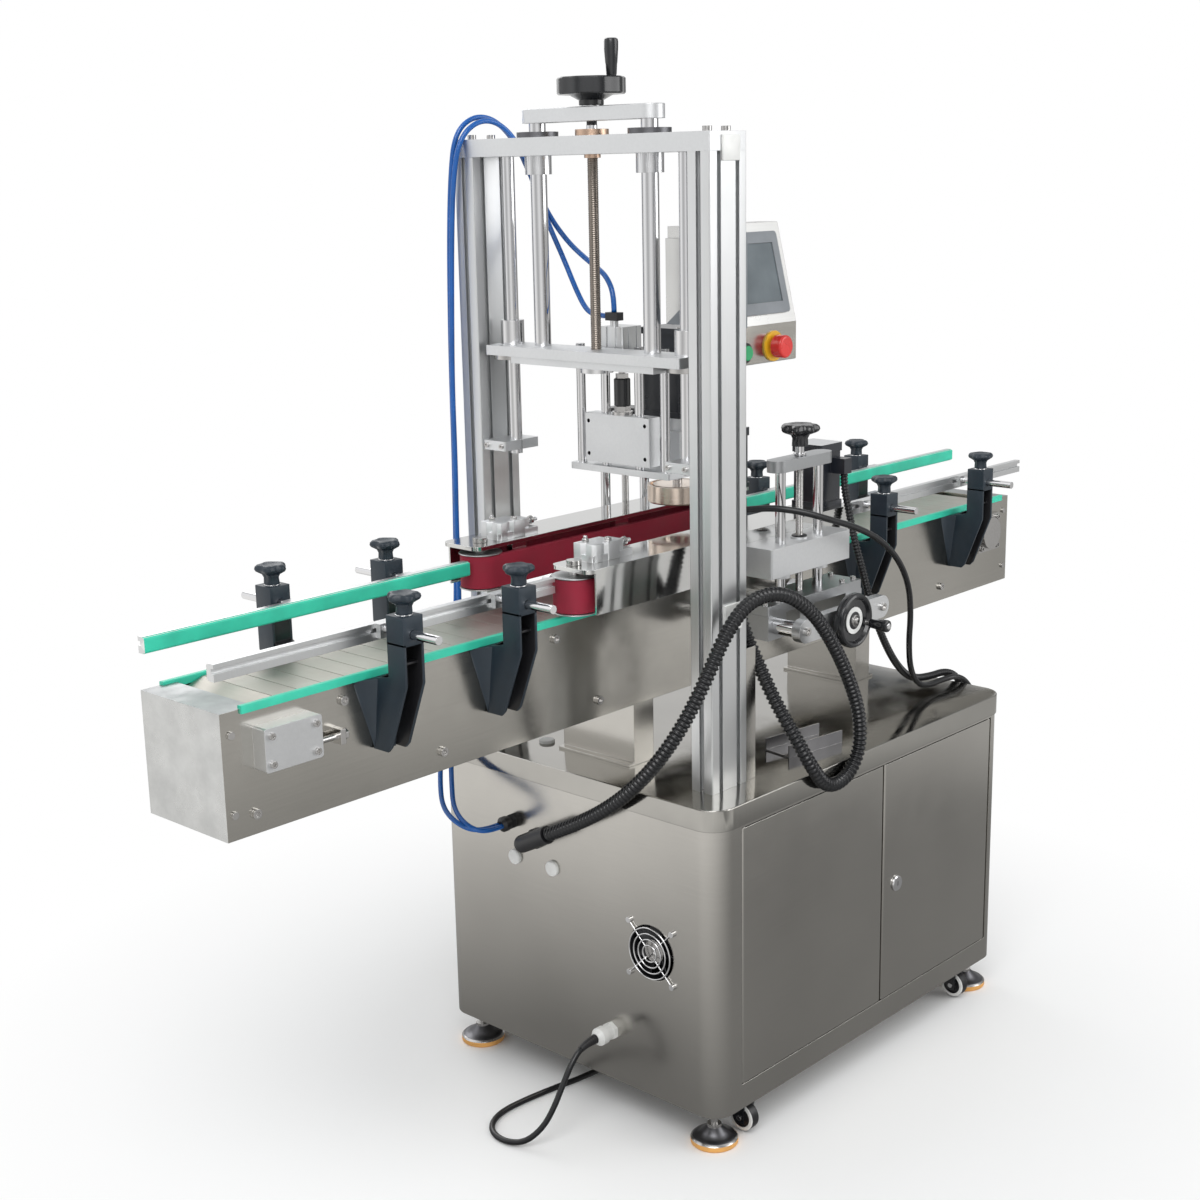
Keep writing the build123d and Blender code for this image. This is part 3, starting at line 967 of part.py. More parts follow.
for side in (-1, 1):
    raise_by = FAR_RAISE if side > 0 else 0.0
    name = side_name(side)

    slide = block(SLIDE_X, sided(side, *SLIDE_Y), SLIDE_Z)
    slide = fillet(slide.edges().filter_by(Axis.Z), 3)
    for x in (ADJUST_X - SLIDE_SPREAD, ADJUST_X + SLIDE_SPREAD):
        carriage_block = block((x - SLIDE_BLOCK_HALF, x + SLIDE_BLOCK_HALF), sided(side, *SLIDE_Y),
                               (CROSS_SHAFT_Z - 20, SLIDE_Z[0]))
        carriage_block -= rod("Y", (x, CROSS_SHAFT_Z), CROSS_SHAFT_R + RUN_FIT, sided(side, 140, 220))
        slide += carriage_block
        for dx in (-15, 15):
            for dy in (12, 56):
                slide += socket_screw("Z", (x + dx, side * (SLIDE_Y[0] + dy)), SLIDE_Z[1], 1, 4.5, 4)
    nut = block((ADJUST_X - 18, ADJUST_X + 18), sided(side, 165, 197), (CROSS_SHAFT_Z - 18, SLIDE_Z[0]))
    nut -= rod("Y", (ADJUST_X, CROSS_SHAFT_Z), CROSS_SCREW_R + RUN_FIT, sided(side, 160, 200))
    slide += nut
    for x in (ADJUST_X - POST_SPREAD, ADJUST_X + POST_SPREAD):
        slide += rod("Z", (x, side * POST_Y), POST_R, (SLIDE_Z[1], POST_LINK_Z[0] + 2))
    bridge = Pos(ADJUST_X, side * POST_Y, POST_LINK_Z[0]) * extrude(
        SlotOverall(2 * POST_LINK_HALF, 32.0), POST_LINK_Z[1] - POST_LINK_Z[0])
    slide += bridge
    slide -= rod("Z", (ADJUST_X, side * POST_Y), HEIGHT_SCREW_R + RUN_FIT, (970, 1000))
    slide -= rod("Z", (ADJUST_X, side * POST_Y), HEIGHT_SCREW_R + RUN_FIT, (SLIDE_Z[0] + 5, SLIDE_Z[1] + 1))
    save(f"cross_slide_{name}", slide)

    at = (ADJUST_X, side * POST_Y)
    height_screw = rod("Z", at, HEIGHT_SCREW_R, (SLIDE_Z[0] + 5 + SOFT_GAP, KNOB_Z[0]))
    height_screw += rod("Z", at, 10, (POST_LINK_Z[1] + SOFT_GAP, POST_LINK_Z[1] + 4))
    height_screw += rod("Z", at, 7, (POST_LINK_Z[1] + 4, KNOB_Z[0] + 1))
    knob = star(at, KNOB_R, (KNOB_Z[0], KNOB_Z[1] - 9))
    knob += spun(at, [(0, KNOB_Z[1] - 9), (22, KNOB_Z[1] - 9), (17, KNOB_Z[1] - 2),
                      (12, KNOB_Z[1]), (0, KNOB_Z[1])])
    height_screw += knob
    save(f"height_screw_{name}", height_screw)

    screw_axis = (ADJUST_X, CROSS_SHAFT_Z)
    inner = CROSS_SHAFT_START + 5 + SOFT_GAP
    cross = rod("Y", screw_axis, CROSS_SCREW_R, sided(side, inner, CROSS_WHEEL_Y[1] - 2))
    wheel_profile = [(0, 0), (16, 0), (18, 4), (CROSS_WHEEL_R - 12, 5), (CROSS_WHEEL_R - 8, 1),
                     (CROSS_WHEEL_R - 2, 1), (CROSS_WHEEL_R, 4), (CROSS_WHEEL_R, 15),
                     (CROSS_WHEEL_R - 2, 18), (CROSS_WHEEL_R - 8, 18), (CROSS_WHEEL_R - 12, 12),
                     (15, 12), (13, 18), (0, 18)]
    handwheel = Pos(ADJUST_X, side * CROSS_WHEEL_Y[0], CROSS_SHAFT_Z) * Rot(-90 * side, 0, 0)
    handwheel = handwheel * spun((0, 0), wheel_profile)
    cross += handwheel
    cross += rod("Y", screw_axis, 16, sided(side, END_PLATE_Y[1] + SOFT_GAP, CROSS_WHEEL_Y[0] + 1))
    grip = spun((0, 0), [(0, 0), (5, 0), (5, 3), (7.5, 4), (8.5, 14), (10, 26), (8, 33), (4, 36), (0, 36)])
    grip_spot = Pos(ADJUST_X + 33.5, side * (CROSS_GRIP_END - 36), CROSS_SHAFT_Z - 10)
    cross += grip_spot * Rot(-90 * side, 0, 0) * grip
    cross += rod("Y", (ADJUST_X + 33.5, CROSS_SHAFT_Z - 10), 5,
                 sided(side, CROSS_WHEEL_Y[0] + 8, CROSS_GRIP_END - 35))
    save(f"cross_screw_{name}", cross)

    axis_y = side * BELT_AXIS_Y
    belt_z = (BELT_Z[0] + raise_by, BELT_Z[1] + raise_by)
    cover_z = (COVER_Z[0] + raise_by, COVER_Z[1] + raise_by)
    cover_x0 = BELT_X[0] - 34.0 if side > 0 else BELT_X[0] - 20.0
    unit = block((cover_x0, COVER_END_X), sided(side, *COVER_Y), cover_z)
    corner_edges = unit.edges().filter_by(Axis.Z)
    unit = fillet(corner_edges, 14)
    skirt = block((cover_x0 + 14, COVER_END_X - 14), sided(side, COVER_Y[1] - SKIRT_SHEET, COVER_Y[1]),
                  (belt_z[0] - 1, cover_z[1] - 1))
    unit += skirt
    bar_y = BELT_AXIS_Y - BELT_R + BELT_THICK + SOFT_GAP
    unit += block((BELT_X[0] + 30, BELT_X[1] - 30), sided(side, bar_y, bar_y + 12),
                  (belt_z[0] + 6, belt_z[1] - 6))
    for x in (BELT_X[0] + 60, (BELT_X[0] + BELT_X[1]) / 2, BELT_X[1] - 60):
        unit += block((x - 15, x + 15), sided(side, bar_y, bar_y + 12), (belt_z[1] - 7, cover_z[0] + 1))
    unit -= rod("Z", (BELT_X[0], axis_y), 8 + RUN_FIT, (cover_z[0] - 1, cover_z[1] + 1))
    unit -= rod("Z", (BELT_X[1], axis_y), 11, (cover_z[0] - 1, cover_z[1] + 1))
    tension = block((BELT_X[0] + 22, BELT_X[0] + 103), (axis_y - 19, axis_y + 19),
                    (cover_z[1], cover_z[1] + 10))
    tension += block((BELT_X[0] + 40, BELT_X[0] + 62), (axis_y - 15, axis_y + 15),
                     (cover_z[1] + 9, cover_z[1] + 25))
    tension += block((BELT_X[0] + 80, BELT_X[0] + 88), (axis_y - 15, axis_y + 15),
                     (cover_z[1] + 9, cover_z[1] + 25))
    tension += rod("X", (axis_y, cover_z[1] + 17), 3, (BELT_X[0] + 62, BELT_X[0] + 118))
    tension += hexagon("X", (axis_y, cover_z[1] + 17), 10, (BELT_X[0] + 88, BELT_X[0] + 94))
    unit += tension
    height = block((ADJUST_X - HEIGHT_BLOCK_HALF, ADJUST_X + HEIGHT_BLOCK_HALF),
                   sided(side, *HEIGHT_BLOCK_Y),
                   (HEIGHT_BLOCK_Z[0] + raise_by, HEIGHT_BLOCK_Z[1] + raise_by))
    height = fillet(height.edges().filter_by(Axis.Z).group_by(Axis.Y)[-1 if side > 0 else 0], 4)
    block_z = (HEIGHT_BLOCK_Z[0] + raise_by, HEIGHT_BLOCK_Z[1] + raise_by)
    for x in (ADJUST_X - POST_SPREAD, ADJUST_X + POST_SPREAD):
        height += rod("Z", (x, side * POST_Y), 16, (block_z[0] - 8, block_z[0]))
        height -= rod("Z", (x, side * POST_Y), POST_R + RUN_FIT, (block_z[0] - 9, block_z[1] + 1))
    height += rod("Z", at, 14, (block_z[1], block_z[1] + 3))
    height -= rod("Z", at, HEIGHT_SCREW_R + RUN_FIT, (block_z[0] - 1, block_z[1] + 4))
    unit += height
    save(f"belt_unit_{name}", unit)

    belt = SlotCenterToCenter(BELT_X[1] - BELT_X[0], 2 * BELT_R)
    belt -= SlotCenterToCenter(BELT_X[1] - BELT_X[0], 2 * (BELT_R - BELT_THICK))
    belt_middle = Pos((BELT_X[0] + BELT_X[1]) / 2, axis_y, belt_z[0])
    save(f"side_belt_{name}", belt_middle * extrude(belt, belt_z[1] - belt_z[0]))

    pulley_r = BELT_R - BELT_THICK - SOFT_GAP
    idler = rod("Z", (BELT_X[0], axis_y), pulley_r, belt_z)
    idler += rod("Z", (BELT_X[0], axis_y), 8, (belt_z[1] - 1, cover_z[1] + 2))
    idler += rod("Z", (BELT_X[0], axis_y), 11, (cover_z[1] + SOFT_GAP, cover_z[1] + 7))
    save(f"idler_pulley_{name}", idler)
    drive = rod("Z", (BELT_X[1], axis_y), pulley_r, belt_z)
    drive += rod("Z", (BELT_X[1], axis_y), 8, (belt_z[1] - 1, cover_z[1] + 18))
    save(f"drive_pulley_{name}", drive)

    size = BELT_MOTOR_SIZE / 2
    motor_x = (BELT_X[1] - size, BELT_X[1] + size)
    motor_y = (axis_y - size, axis_y + size)
    bottom, motor_top = cover_z[1], BELT_MOTOR_TOP + raise_by
    belt_motor = pillar(motor_x, motor_y, (bottom, bottom + 8), 3)
    belt_motor += pillar((motor_x[0] + 2, motor_x[1] - 2), (motor_y[0] + 2, motor_y[1] - 2),
                         (bottom + 8, motor_top - 14), 4)
    belt_motor += pillar(motor_x, motor_y, (motor_top - 14, motor_top), 4)
    belt_motor -= rod("Z", (BELT_X[1], axis_y), 8 + RUN_FIT, (bottom - 1, bottom + 20))
    belt_motor += block((BELT_X[1] - 1, BELT_X[1] + 19), sided(side, BELT_AXIS_Y + size - 3, 151),
                        (940 + raise_by, 965 + raise_by))
    save(f"belt_motor_{name}", belt_motor)


# Operator console

profile = make_face(Plane.YZ * Polyline(*CONSOLE_PROFILE, close=True))
console = Pos(CONSOLE_X[0], 0, 0) * extrude(profile, CONSOLE_X[1] - CONSOLE_X[0], dir=(1, 0, 0))
long_edges = console.edges().filter_by(Axis.X).group_by(Axis.Y)[0]
console = fillet(long_edges, 2)
console += block((CONSOLE_X[0] - CONSOLE_PLATE, CONSOLE_X[0]), (-COLUMN_Y - 17, CONSOLE_PROFILE[3][0]),
                 (CONSOLE_PROFILE[4][1], 1330))
low, high = CONSOLE_PROFILE[1], CONSOLE_PROFILE[2]
tilt = degrees(atan2(high[0] - low[0], high[1] - low[1]))
face_mid = Pos((SCREEN_X[0] + SCREEN_X[1]) / 2, (low[0] + high[0]) / 2, (low[1] + high[1]) / 2)
bezel = Box(SCREEN_X[1] - SCREEN_X[0], 10.0, SCREEN_HEIGHT)
bezel = fillet(bezel.edges().filter_by(Axis.Y), 6)
bezel -= Pos(0, -4.6, 0) * Box(156.0, 2.0, 88.0)
console += face_mid * Rot(-tilt, 0, 0) * bezel
front = CONSOLE_PROFILE[0][0]
collar_depth = 3.0
console += rod("Y", (ESTOP_X, ESTOP_Z), 22.5, (front - collar_depth, front))
console -= rod("Y", (ESTOP_X, ESTOP_Z), 8 + RUN_FIT, (front - 20, front + 20))
console += rod("Y", (START_X, START_Z), 15, (front - collar_depth, front))
console -= rod("Y", (START_X, START_Z), 11 + RUN_FIT, (front - 20, front + 12))
save("hmi_console", console)

ESTOP_TRAVEL = 5.0
stop = rod("Y", (ESTOP_X, ESTOP_Z), 8, (front - 14, front + 20 - ESTOP_TRAVEL - SOFT_GAP))
head_front = front - collar_depth - ESTOP_TRAVEL - 18.0
head = rod("Y", (ESTOP_X, ESTOP_Z), 17.0, (head_front, front - collar_depth - ESTOP_TRAVEL - SOFT_GAP))
head = fillet(head.edges().group_by(Axis.Y)[0], 4)
save("emergency_stop", stop + head)
START_TRAVEL = 3.0
start = rod("Y", (START_X, START_Z), 11.0, (front - 5 - START_TRAVEL, front + 12 - START_TRAVEL - SOFT_GAP))
start = chamfer(start.edges().group_by(Axis.Y)[0], 1)
save("start_button", start)


# Cords: straight runs joined by the largest tangent arcs that they allow

def cord(name, points, radius):
    """Tube along a route; prints its length, tightest bend and volume ratio."""
    radii = []
    for a, b, c in zip(points, points[1:], points[2:]):
        first, second = Vector(*b) - Vector(*a), Vector(*c) - Vector(*b)
        half_turn = radians(first.get_angle(second)) / 2
        radii.append(0.45 * min(first.length, second.length) / tan(half_turn))
    path = FilletPolyline(*points, radius=radii)
    section = Plane(origin=path @ 0, z_dir=path % 0) * Circle(radius)
    tube = sweep(section, path=path)
    ratio = tube.volume / (pi * radius ** 2 * path.length)
    print(name, "length", round(path.length), "smallest radius", round(min(radii)),
          "of", round(min(radii) / (2 * radius), 1), "diameters, volume ratio", round(ratio, 4))
    return tube


MAIN_CONDUIT = [
    ELBOW_END, (ELBOW_END[0], -51.4, 473.0), (-302.0, -110.0, 508.0), (-300.0, -164.0, 550.0),
    (-290.0, -212.0, 604.0), (-272.0, -246.0, 664.0), (-248.0, -267.0, 728.0),
    (-212.0, -272.0, 786.0), (-160.0, -271.0, 824.0), (-98.0, -281.0, 830.0),
    (-42.0, -294.0, 796.0), (2.0, -304.0, 738.0), (38.0, -311.0, 672.0), (61.0, -316.0, 608.0),
    (58.0, -317.6, 552.0), (22.0, -317.8, 518.0), (-28.0, -317.8, 518.0), (-65.0, -317.6, 560.0),
    (-83.0, -297.0, 612.0), (-95.0, -272.0, 660.0), (-99.5, -246.0, 710.0),
    (-104.0, -220.0, 762.0), (-106.0, -200.0, 825.0), (-106.0, -190.0, 895.0),
    (-105.0, -182.0, 965.0), (-103.0, -170.0, 1030.0), (-100.0, -155.0, 1090.0),
    (-100.0, -155.0, CONSOLE_PROFILE[0][1] - 0.2),
]
MOTOR_CONDUIT = [
    (256.0, -143.5, 939.7), (256.0, -144.0, 917.0), (256.5, -152.5, 884.0),
    (257.5, -162.0, 840.0), (258.0, -181.0, 784.0), (261.0, -198.0, 722.0),
    (283.0, -207.0, 664.0), (326.0, -205.0, 612.0), (384.0, -196.0, 574.0),
    (446.0, -191.0, 562.0), (500.0, -195.0, 562.0), (533.0, -201.0, 542.0),
    (541.0, -206.0, 500.0), (541.0, -206.0, 455.2),
]
SENSOR_CABLE = [
    (-96.0, -192.4, 936.0), (-58.0, -219.0, 940.0), (0.0, -243.0, 928.0), (66.0, -250.0, 906.0),
    (140.0, -250.0, 882.0), (212.0, -246.0, 850.0), (270.0, -242.0, 808.0),
    (308.0, -238.0, 758.0), (322.0, -234.0, 706.0), (322.0, -231.0, 655.0),
    (336.0, -226.0, 606.0), (372.0, -218.0, 570.0), (420.0, -210.0, 556.0),
    (468.0, -208.0, 556.0), (508.0, -215.0, 555.0), (534.0, -223.0, 532.0),
    (541.0, -229.0, 494.0), (541.0, -229.0, 455.2),
]
AIR_TUBES = [
    [(-297.2, 107.6, 431.8), (-324.0, 107.6, 431.8), (-346.0, 117.0, 437.0),
     (-351.0, 142.0, 448.0), (-340.0, 172.0, 462.0), (-318.0, 198.0, 484.0),
     (-297.0, 221.0, 518.0), (-277.0, 237.0, 562.0), (-257.0, 247.0, 614.0),
     (-243.0, 251.0, 680.0), (-236.0, 253.0, 760.0), (-235.0, 254.0, 875.0),
     (-232.0, 254.0, 990.0), (-234.0, 252.0, 1105.0), (-231.0, 250.0, 1220.0),
     (-229.0, 246.0, 1330.0), (-229.0, 238.0, 1415.0), (-223.0, 228.0, 1476.0),
     (-190.0, 220.0, 1504.0), (-152.0, 212.0, 1500.0), (-120.0, 203.0, 1466.0),
     (-108.0, 190.0, 1415.0), (-103.0, 164.0, 1350.0), (-104.0, 130.0, 1295.0),
     (-112.0, 98.0, 1250.0), (-125.0, 66.0, 1222.0), (-134.0, 38.0, 1215.0),
     (-134.0, 12.2, 1215.0)],
    [(-297.2, 116.8, 431.8), (-325.0, 116.8, 431.8), (-350.0, 126.0, 437.0),
     (-360.0, 152.0, 449.0), (-352.0, 184.0, 463.0), (-330.0, 212.0, 485.0),
     (-306.0, 235.0, 520.0), (-282.0, 249.0, 566.0), (-259.0, 257.0, 620.0),
     (-242.0, 262.0, 688.0), (-232.0, 264.0, 772.0), (-229.0, 263.0, 887.0),
     (-226.0, 263.0, 1000.0), (-227.0, 261.0, 1115.0), (-225.0, 260.0, 1230.0),
     (-223.0, 257.0, 1340.0), (-224.0, 248.0, 1425.0), (-221.0, 239.0, 1484.0),
     (-190.0, 232.0, 1510.0), (-150.0, 225.0, 1506.0), (-115.0, 215.0, 1470.0),
     (-98.0, 200.0, 1415.0), (-92.0, 172.0, 1360.0), (-94.0, 130.0, 1320.0),
     (-103.0, 86.0, 1297.0), (-115.0, 50.0, 1284.0), (-127.0, 20.0, 1272.0),
     (-134.0, 0.0, 1248.0), (-134.0, 0.0, 1221.2)],
]
FLOOR_Z = MAINS_R + 0.1
COIL_AT = (-120.0, 62.0)
COIL_MID_R = 52.0
COIL_OUT_R = COIL_MID_R + 2 * MAINS_R
COIL_HEIGHT = 6 * MAINS_R
LEAD_END_X = COIL_AT[0] - sqrt(COIL_OUT_R ** 2 - (COIL_MID_R - MAINS_R) ** 2) - SOFT_GAP
COIL_LINE_Y = COIL_AT[1] - COIL_MID_R
MAINS_LEAD = [
    (CAB_X[0] - MAINS_GLAND_LENGTH - 0.1, GLAND_MAINS[0], GLAND_MAINS[1]),
    (-337.0, GLAND_MAINS[0], GLAND_MAINS[1]), (-361.0, -94.0, 122.0), (-380.0, -93.0, 94.0),
    (-397.0, -90.0, 62.0), (-414.0, -82.0, 32.0), (-435.0, -63.0, 9.0), (-447.0, -32.0, FLOOR_Z),
    (-442.0, 0.0, FLOOR_Z), (-420.0, 24.0, FLOOR_Z), (-386.0, 35.0, FLOOR_Z),
    (-340.0, 33.0, FLOOR_Z), (-280.0, 24.0, FLOOR_Z), (-225.0, 13.0, FLOOR_Z),
    (LEAD_END_X, COIL_LINE_Y, FLOOR_Z),
]

save("machine_conduits", Compound(children=[
    cord("main conduit", MAIN_CONDUIT, CONDUIT_R),
    cord("motor conduit", MOTOR_CONDUIT, MOTOR_CONDUIT_R),
    cord("sensor cable", SENSOR_CABLE, SENSOR_CABLE_R)]))
save("air_tubes", Compound(children=[
    cord("air tube", route, AIR_TUBE_R) for route in AIR_TUBES]))
save("mains_cord_lead", cord("mains lead", MAINS_LEAD, MAINS_R))

coil = Pos(*COIL_AT, 0.1) * (
    Cylinder(COIL_OUT_R, COIL_HEIGHT, align=(Align.CENTER, Align.CENTER, Align.MIN))
    - Cylinder(COIL_MID_R - 2 * MAINS_R, COIL_HEIGHT, align=(Align.CENTER, Align.CENTER, Align.MIN)))
coil = fillet(coil.edges().filter_by(GeomType.CIRCLE), MAINS_R)
save("mains_cord_coil", coil)

PLUG_R = 18.0
plug_start = COIL_AT[0] + sqrt(COIL_OUT_R ** 2 - (COIL_MID_R - 6.0) ** 2) + SOFT_GAP
plug_profile = [(0, 0), (MAINS_R + 1.5, 0), (MAINS_R + 3, 28), (11, 34), (PLUG_R - 2, 42),
                (PLUG_R, 50), (PLUG_R, 78), (PLUG_R - 2, 80), (0, 80)]
plug = Pos(plug_start, COIL_LINE_Y, PLUG_R + 0.2) * Rot(0, 90, 0) * spun((0, 0), plug_profile)
for side in (-1, 1):
    plug += rod("X", (COIL_LINE_Y + side * 9.5, PLUG_R + 0.2), 2.4, (plug_start + 79, plug_start + 98))
save("mains_plug", plug)
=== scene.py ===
from math import cos, pi, radians, sin, tau

import bpy
import numpy as np
from mathutils import Matrix, Vector


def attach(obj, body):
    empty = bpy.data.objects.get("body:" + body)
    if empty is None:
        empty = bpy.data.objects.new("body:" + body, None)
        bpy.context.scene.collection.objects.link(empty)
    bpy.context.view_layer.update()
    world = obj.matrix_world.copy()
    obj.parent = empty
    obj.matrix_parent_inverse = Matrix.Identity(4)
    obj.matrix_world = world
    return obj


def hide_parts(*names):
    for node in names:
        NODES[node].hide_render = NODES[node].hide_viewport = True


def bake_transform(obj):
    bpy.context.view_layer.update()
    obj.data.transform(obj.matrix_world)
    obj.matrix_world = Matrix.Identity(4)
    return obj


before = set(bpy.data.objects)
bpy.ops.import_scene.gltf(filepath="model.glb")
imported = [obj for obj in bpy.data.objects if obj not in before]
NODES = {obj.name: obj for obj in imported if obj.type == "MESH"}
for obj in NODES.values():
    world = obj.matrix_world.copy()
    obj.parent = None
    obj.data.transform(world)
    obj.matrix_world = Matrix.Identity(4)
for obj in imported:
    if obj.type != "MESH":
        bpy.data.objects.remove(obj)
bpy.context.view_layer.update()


def add_object(name, data):
    """New scene object with this data."""
    thing = bpy.data.objects.new(name, data)
    bpy.context.scene.collection.objects.link(thing)
    return thing


# Camera

EYE = Vector((-2.10879, -1.80242, 1.42782))
YAW, PITCH, ROLL = radians(43.0234), radians(13.5868), radians(1.1686)
FOCAL_PIXELS = 1781.85
FRAME_PIXELS = 1200
SENSOR_WIDTH = 36


def place_camera():
    """Camera at the photograph's standpoint: yaw from +X towards +Y, pitch down, then roll."""
    ahead = Vector((cos(YAW) * cos(PITCH), sin(YAW) * cos(PITCH), -sin(PITCH)))
    right = Vector((sin(YAW), -cos(YAW), 0))
    down = ahead.cross(right)
    right, down = (right * cos(ROLL) + down * sin(ROLL), down * cos(ROLL) - right * sin(ROLL))
    data = bpy.data.cameras.new("camera")
    data.sensor_width = SENSOR_WIDTH
    data.lens = SENSOR_WIDTH * FOCAL_PIXELS / FRAME_PIXELS
    data.clip_start, data.clip_end = 0.05, 100
    camera = add_object("camera", data)
    turn = Matrix((right, -down, -ahead)).transposed()
    camera.matrix_world = Matrix.Translation(EYE) @ turn.to_4x4()
    bpy.context.scene.camera = camera


place_camera()


# Node trees

class Tree:
    """Short calls for adding and joining the nodes of one tree."""

    def __init__(self, tree):
        self.nodes, self.links = tree.nodes, tree.links

    def add(self, kind, settings=None, **inputs):
        """One node; an input is a value or another node's output."""
        node = self.nodes.new(kind)
        for key, value in (settings or {}).items():
            setattr(node, key, value)
        for key, value in inputs.items():
            self.put(node, key.replace("_", " "), value)
        return node

    def put(self, node, key, value):
        """Set or link one input, named or numbered."""
        if isinstance(value, bpy.types.NodeSocket):
            self.links.new(value, node.inputs[key])
        else:
            node.inputs[key].default_value = value

    def fed(self, kind, settings, rows):
        """One node with its numbered inputs."""
        node = self.add(kind, settings)
        for index, value in rows:
            self.put(node, index, value)
        return node.outputs

    def math(self, operation, *values):
        return self.fed("ShaderNodeMath", {"operation": operation}, enumerate(values))[0]

    def times(self, a, b):
        return self.math("MULTIPLY", a, b)

    def plus(self, a, *rest):
        return self.math("ADD", a, self.plus(*rest) if len(rest) > 1 else rest[0])

    def vector_math(self, operation, *vectors):
        """The number that an operation on vectors gives."""
        return self.fed("ShaderNodeVectorMath", {"operation": operation},
                        enumerate(vectors))["Value"]

    def remap(self, value, low, high, to_low=0.0, to_high=1.0):
        """Clamped linear remapping of a value."""
        return self.add("ShaderNodeMapRange", Value=value, From_Min=low, From_Max=high,
                        To_Min=to_low, To_Max=to_high).outputs["Result"]

    def blend(self, share, a, b):
        """Colour a at share 0, b at 1."""
        return self.fed("ShaderNodeMix", {"data_type": "RGBA"}, ((0, share), (6, a), (7, b)))[2]

    def mix_shaders(self, share, a, b):
        """Shader a at share 0, b at 1."""
        return self.fed("ShaderNodeMixShader", None, enumerate((share, a, b)))["Shader"]

    def noise(self, vector, scale, detail=3.0, roughness=0.5):
        return self.add("ShaderNodeTexNoise", Vector=vector, Scale=scale, Detail=detail,
                        Roughness=roughness).outputs["Fac"]

    def object_point(self, stretch=None):
        """Object coordinates in metres, stretched by factors on each axis."""
        point = self.add("ShaderNodeTexCoord").outputs["Object"]
        if stretch is None:
            return point
        return self.add("ShaderNodeMapping", Vector=point, Scale=stretch).outputs["Vector"]


def group(name, inputs, outputs, fill):
    """Shader node group with named sockets; fill builds its inside and returns the outputs."""
    tree = bpy.data.node_groups.new(name, "ShaderNodeTree")
    for key, kind, value in inputs:
        socket = tree.interface.new_socket(key, in_out="INPUT", socket_type=kind)
        socket.default_value = value
    for key, kind in outputs:
        tree.interface.new_socket(key, in_out="OUTPUT", socket_type=kind)
    inner = Tree(tree)
    entry, leave = inner.add("NodeGroupInput"), inner.add("NodeGroupOutput")
    for key, value in fill(inner, entry.outputs).items():
        inner.links.new(value, leave.inputs[key])
    return tree


FLOAT, VECTOR = "NodeSocketFloat", "NodeSocketVector"


def brushed_inside(t, given):
    """Fine lines stretched along the grain, slow broad clouds, and smears between the two."""
    lines = t.noise(t.object_point(given["Stretch"]), 1.0, 4.0, 0.7)
    clouds = t.noise(t.object_point(), 3.1, 2.0)
    smears = t.noise(t.object_point(), 17.0, 4.0, 0.62)
    return {"Lines": lines, "Clouds": clouds, "Smears": smears}


def worn_inside(t, given):
    """Mask of edges: how far the rounded normal leans from the true one, broken up by noise."""
    bevel = t.add("ShaderNodeBevel", {"samples": 4}, Radius=given["Width"])
    true_normal = t.add("ShaderNodeNewGeometry").outputs["Normal"]
    likeness = t.vector_math("DOT_PRODUCT", bevel.outputs["Normal"], true_normal)
    lean = t.remap(likeness, 0.995, 0.86)
    patchy = t.remap(t.noise(t.object_point(), 60.0, 5.0, 0.7), 0.35, 0.6)
    return {"Edge": t.times(lean, patchy), "Normal": bevel.outputs["Normal"]}


def grain_inside(t, given):
    """Moulded or cast skin: fine noise for height, with soft broad variation for gloss."""
    fine = t.noise(t.object_point(), given["Scale"], 2.0)
    broad = t.noise(t.object_point(), 23.0, 3.0)
    return {"Height": fine, "Broad": broad}


BRUSHED = group("brushed grain", [("Stretch", VECTOR, (1, 1, 1))],
                [("Lines", FLOAT), ("Clouds", FLOAT), ("Smears", FLOAT)], brushed_inside)
WORN = group("worn edges", [("Width", FLOAT, 0.0008)], [("Edge", FLOAT), ("Normal", VECTOR)],
             worn_inside)
SKIN = group("fine skin", [("Scale", FLOAT, 1500.0)], [("Height", FLOAT), ("Broad", FLOAT)],
             grain_inside)


def use(t, tree, **inputs):
    """Outputs of a node group with these inputs."""
    return t.add("ShaderNodeGroup", {"node_tree": tree}, **inputs).outputs


def emptied(owner):
    """The node tree of a new material or world, with nothing in it."""
    owner.use_nodes = True
    t = Tree(owner.node_tree)
    t.nodes.clear()
    return t


def new_material(name):
    """Material with a Principled BSDF alone."""
    material = bpy.data.materials.new(name)
    t = emptied(material)
    shader = t.add("ShaderNodeBsdfPrincipled")
    leave = t.add("ShaderNodeOutputMaterial")
    t.links.new(shader.outputs["BSDF"], leave.inputs["Surface"])
    return material, t, shader


EVEN_GRAIN = (200, 200, 200)
METAL_SHADES = (0.72, 1.28)
METAL_WORN = 1.7
PLASTIC_SHADES = (0.88, 1.12)
PLASTIC_GLOSSES = (0.85, 1.15)


def shade(colour, factor):
    """Colour made darker or paler by a factor."""
    return tuple(min(1.0, c * factor) for c in colour[:3]) + (1.0,)


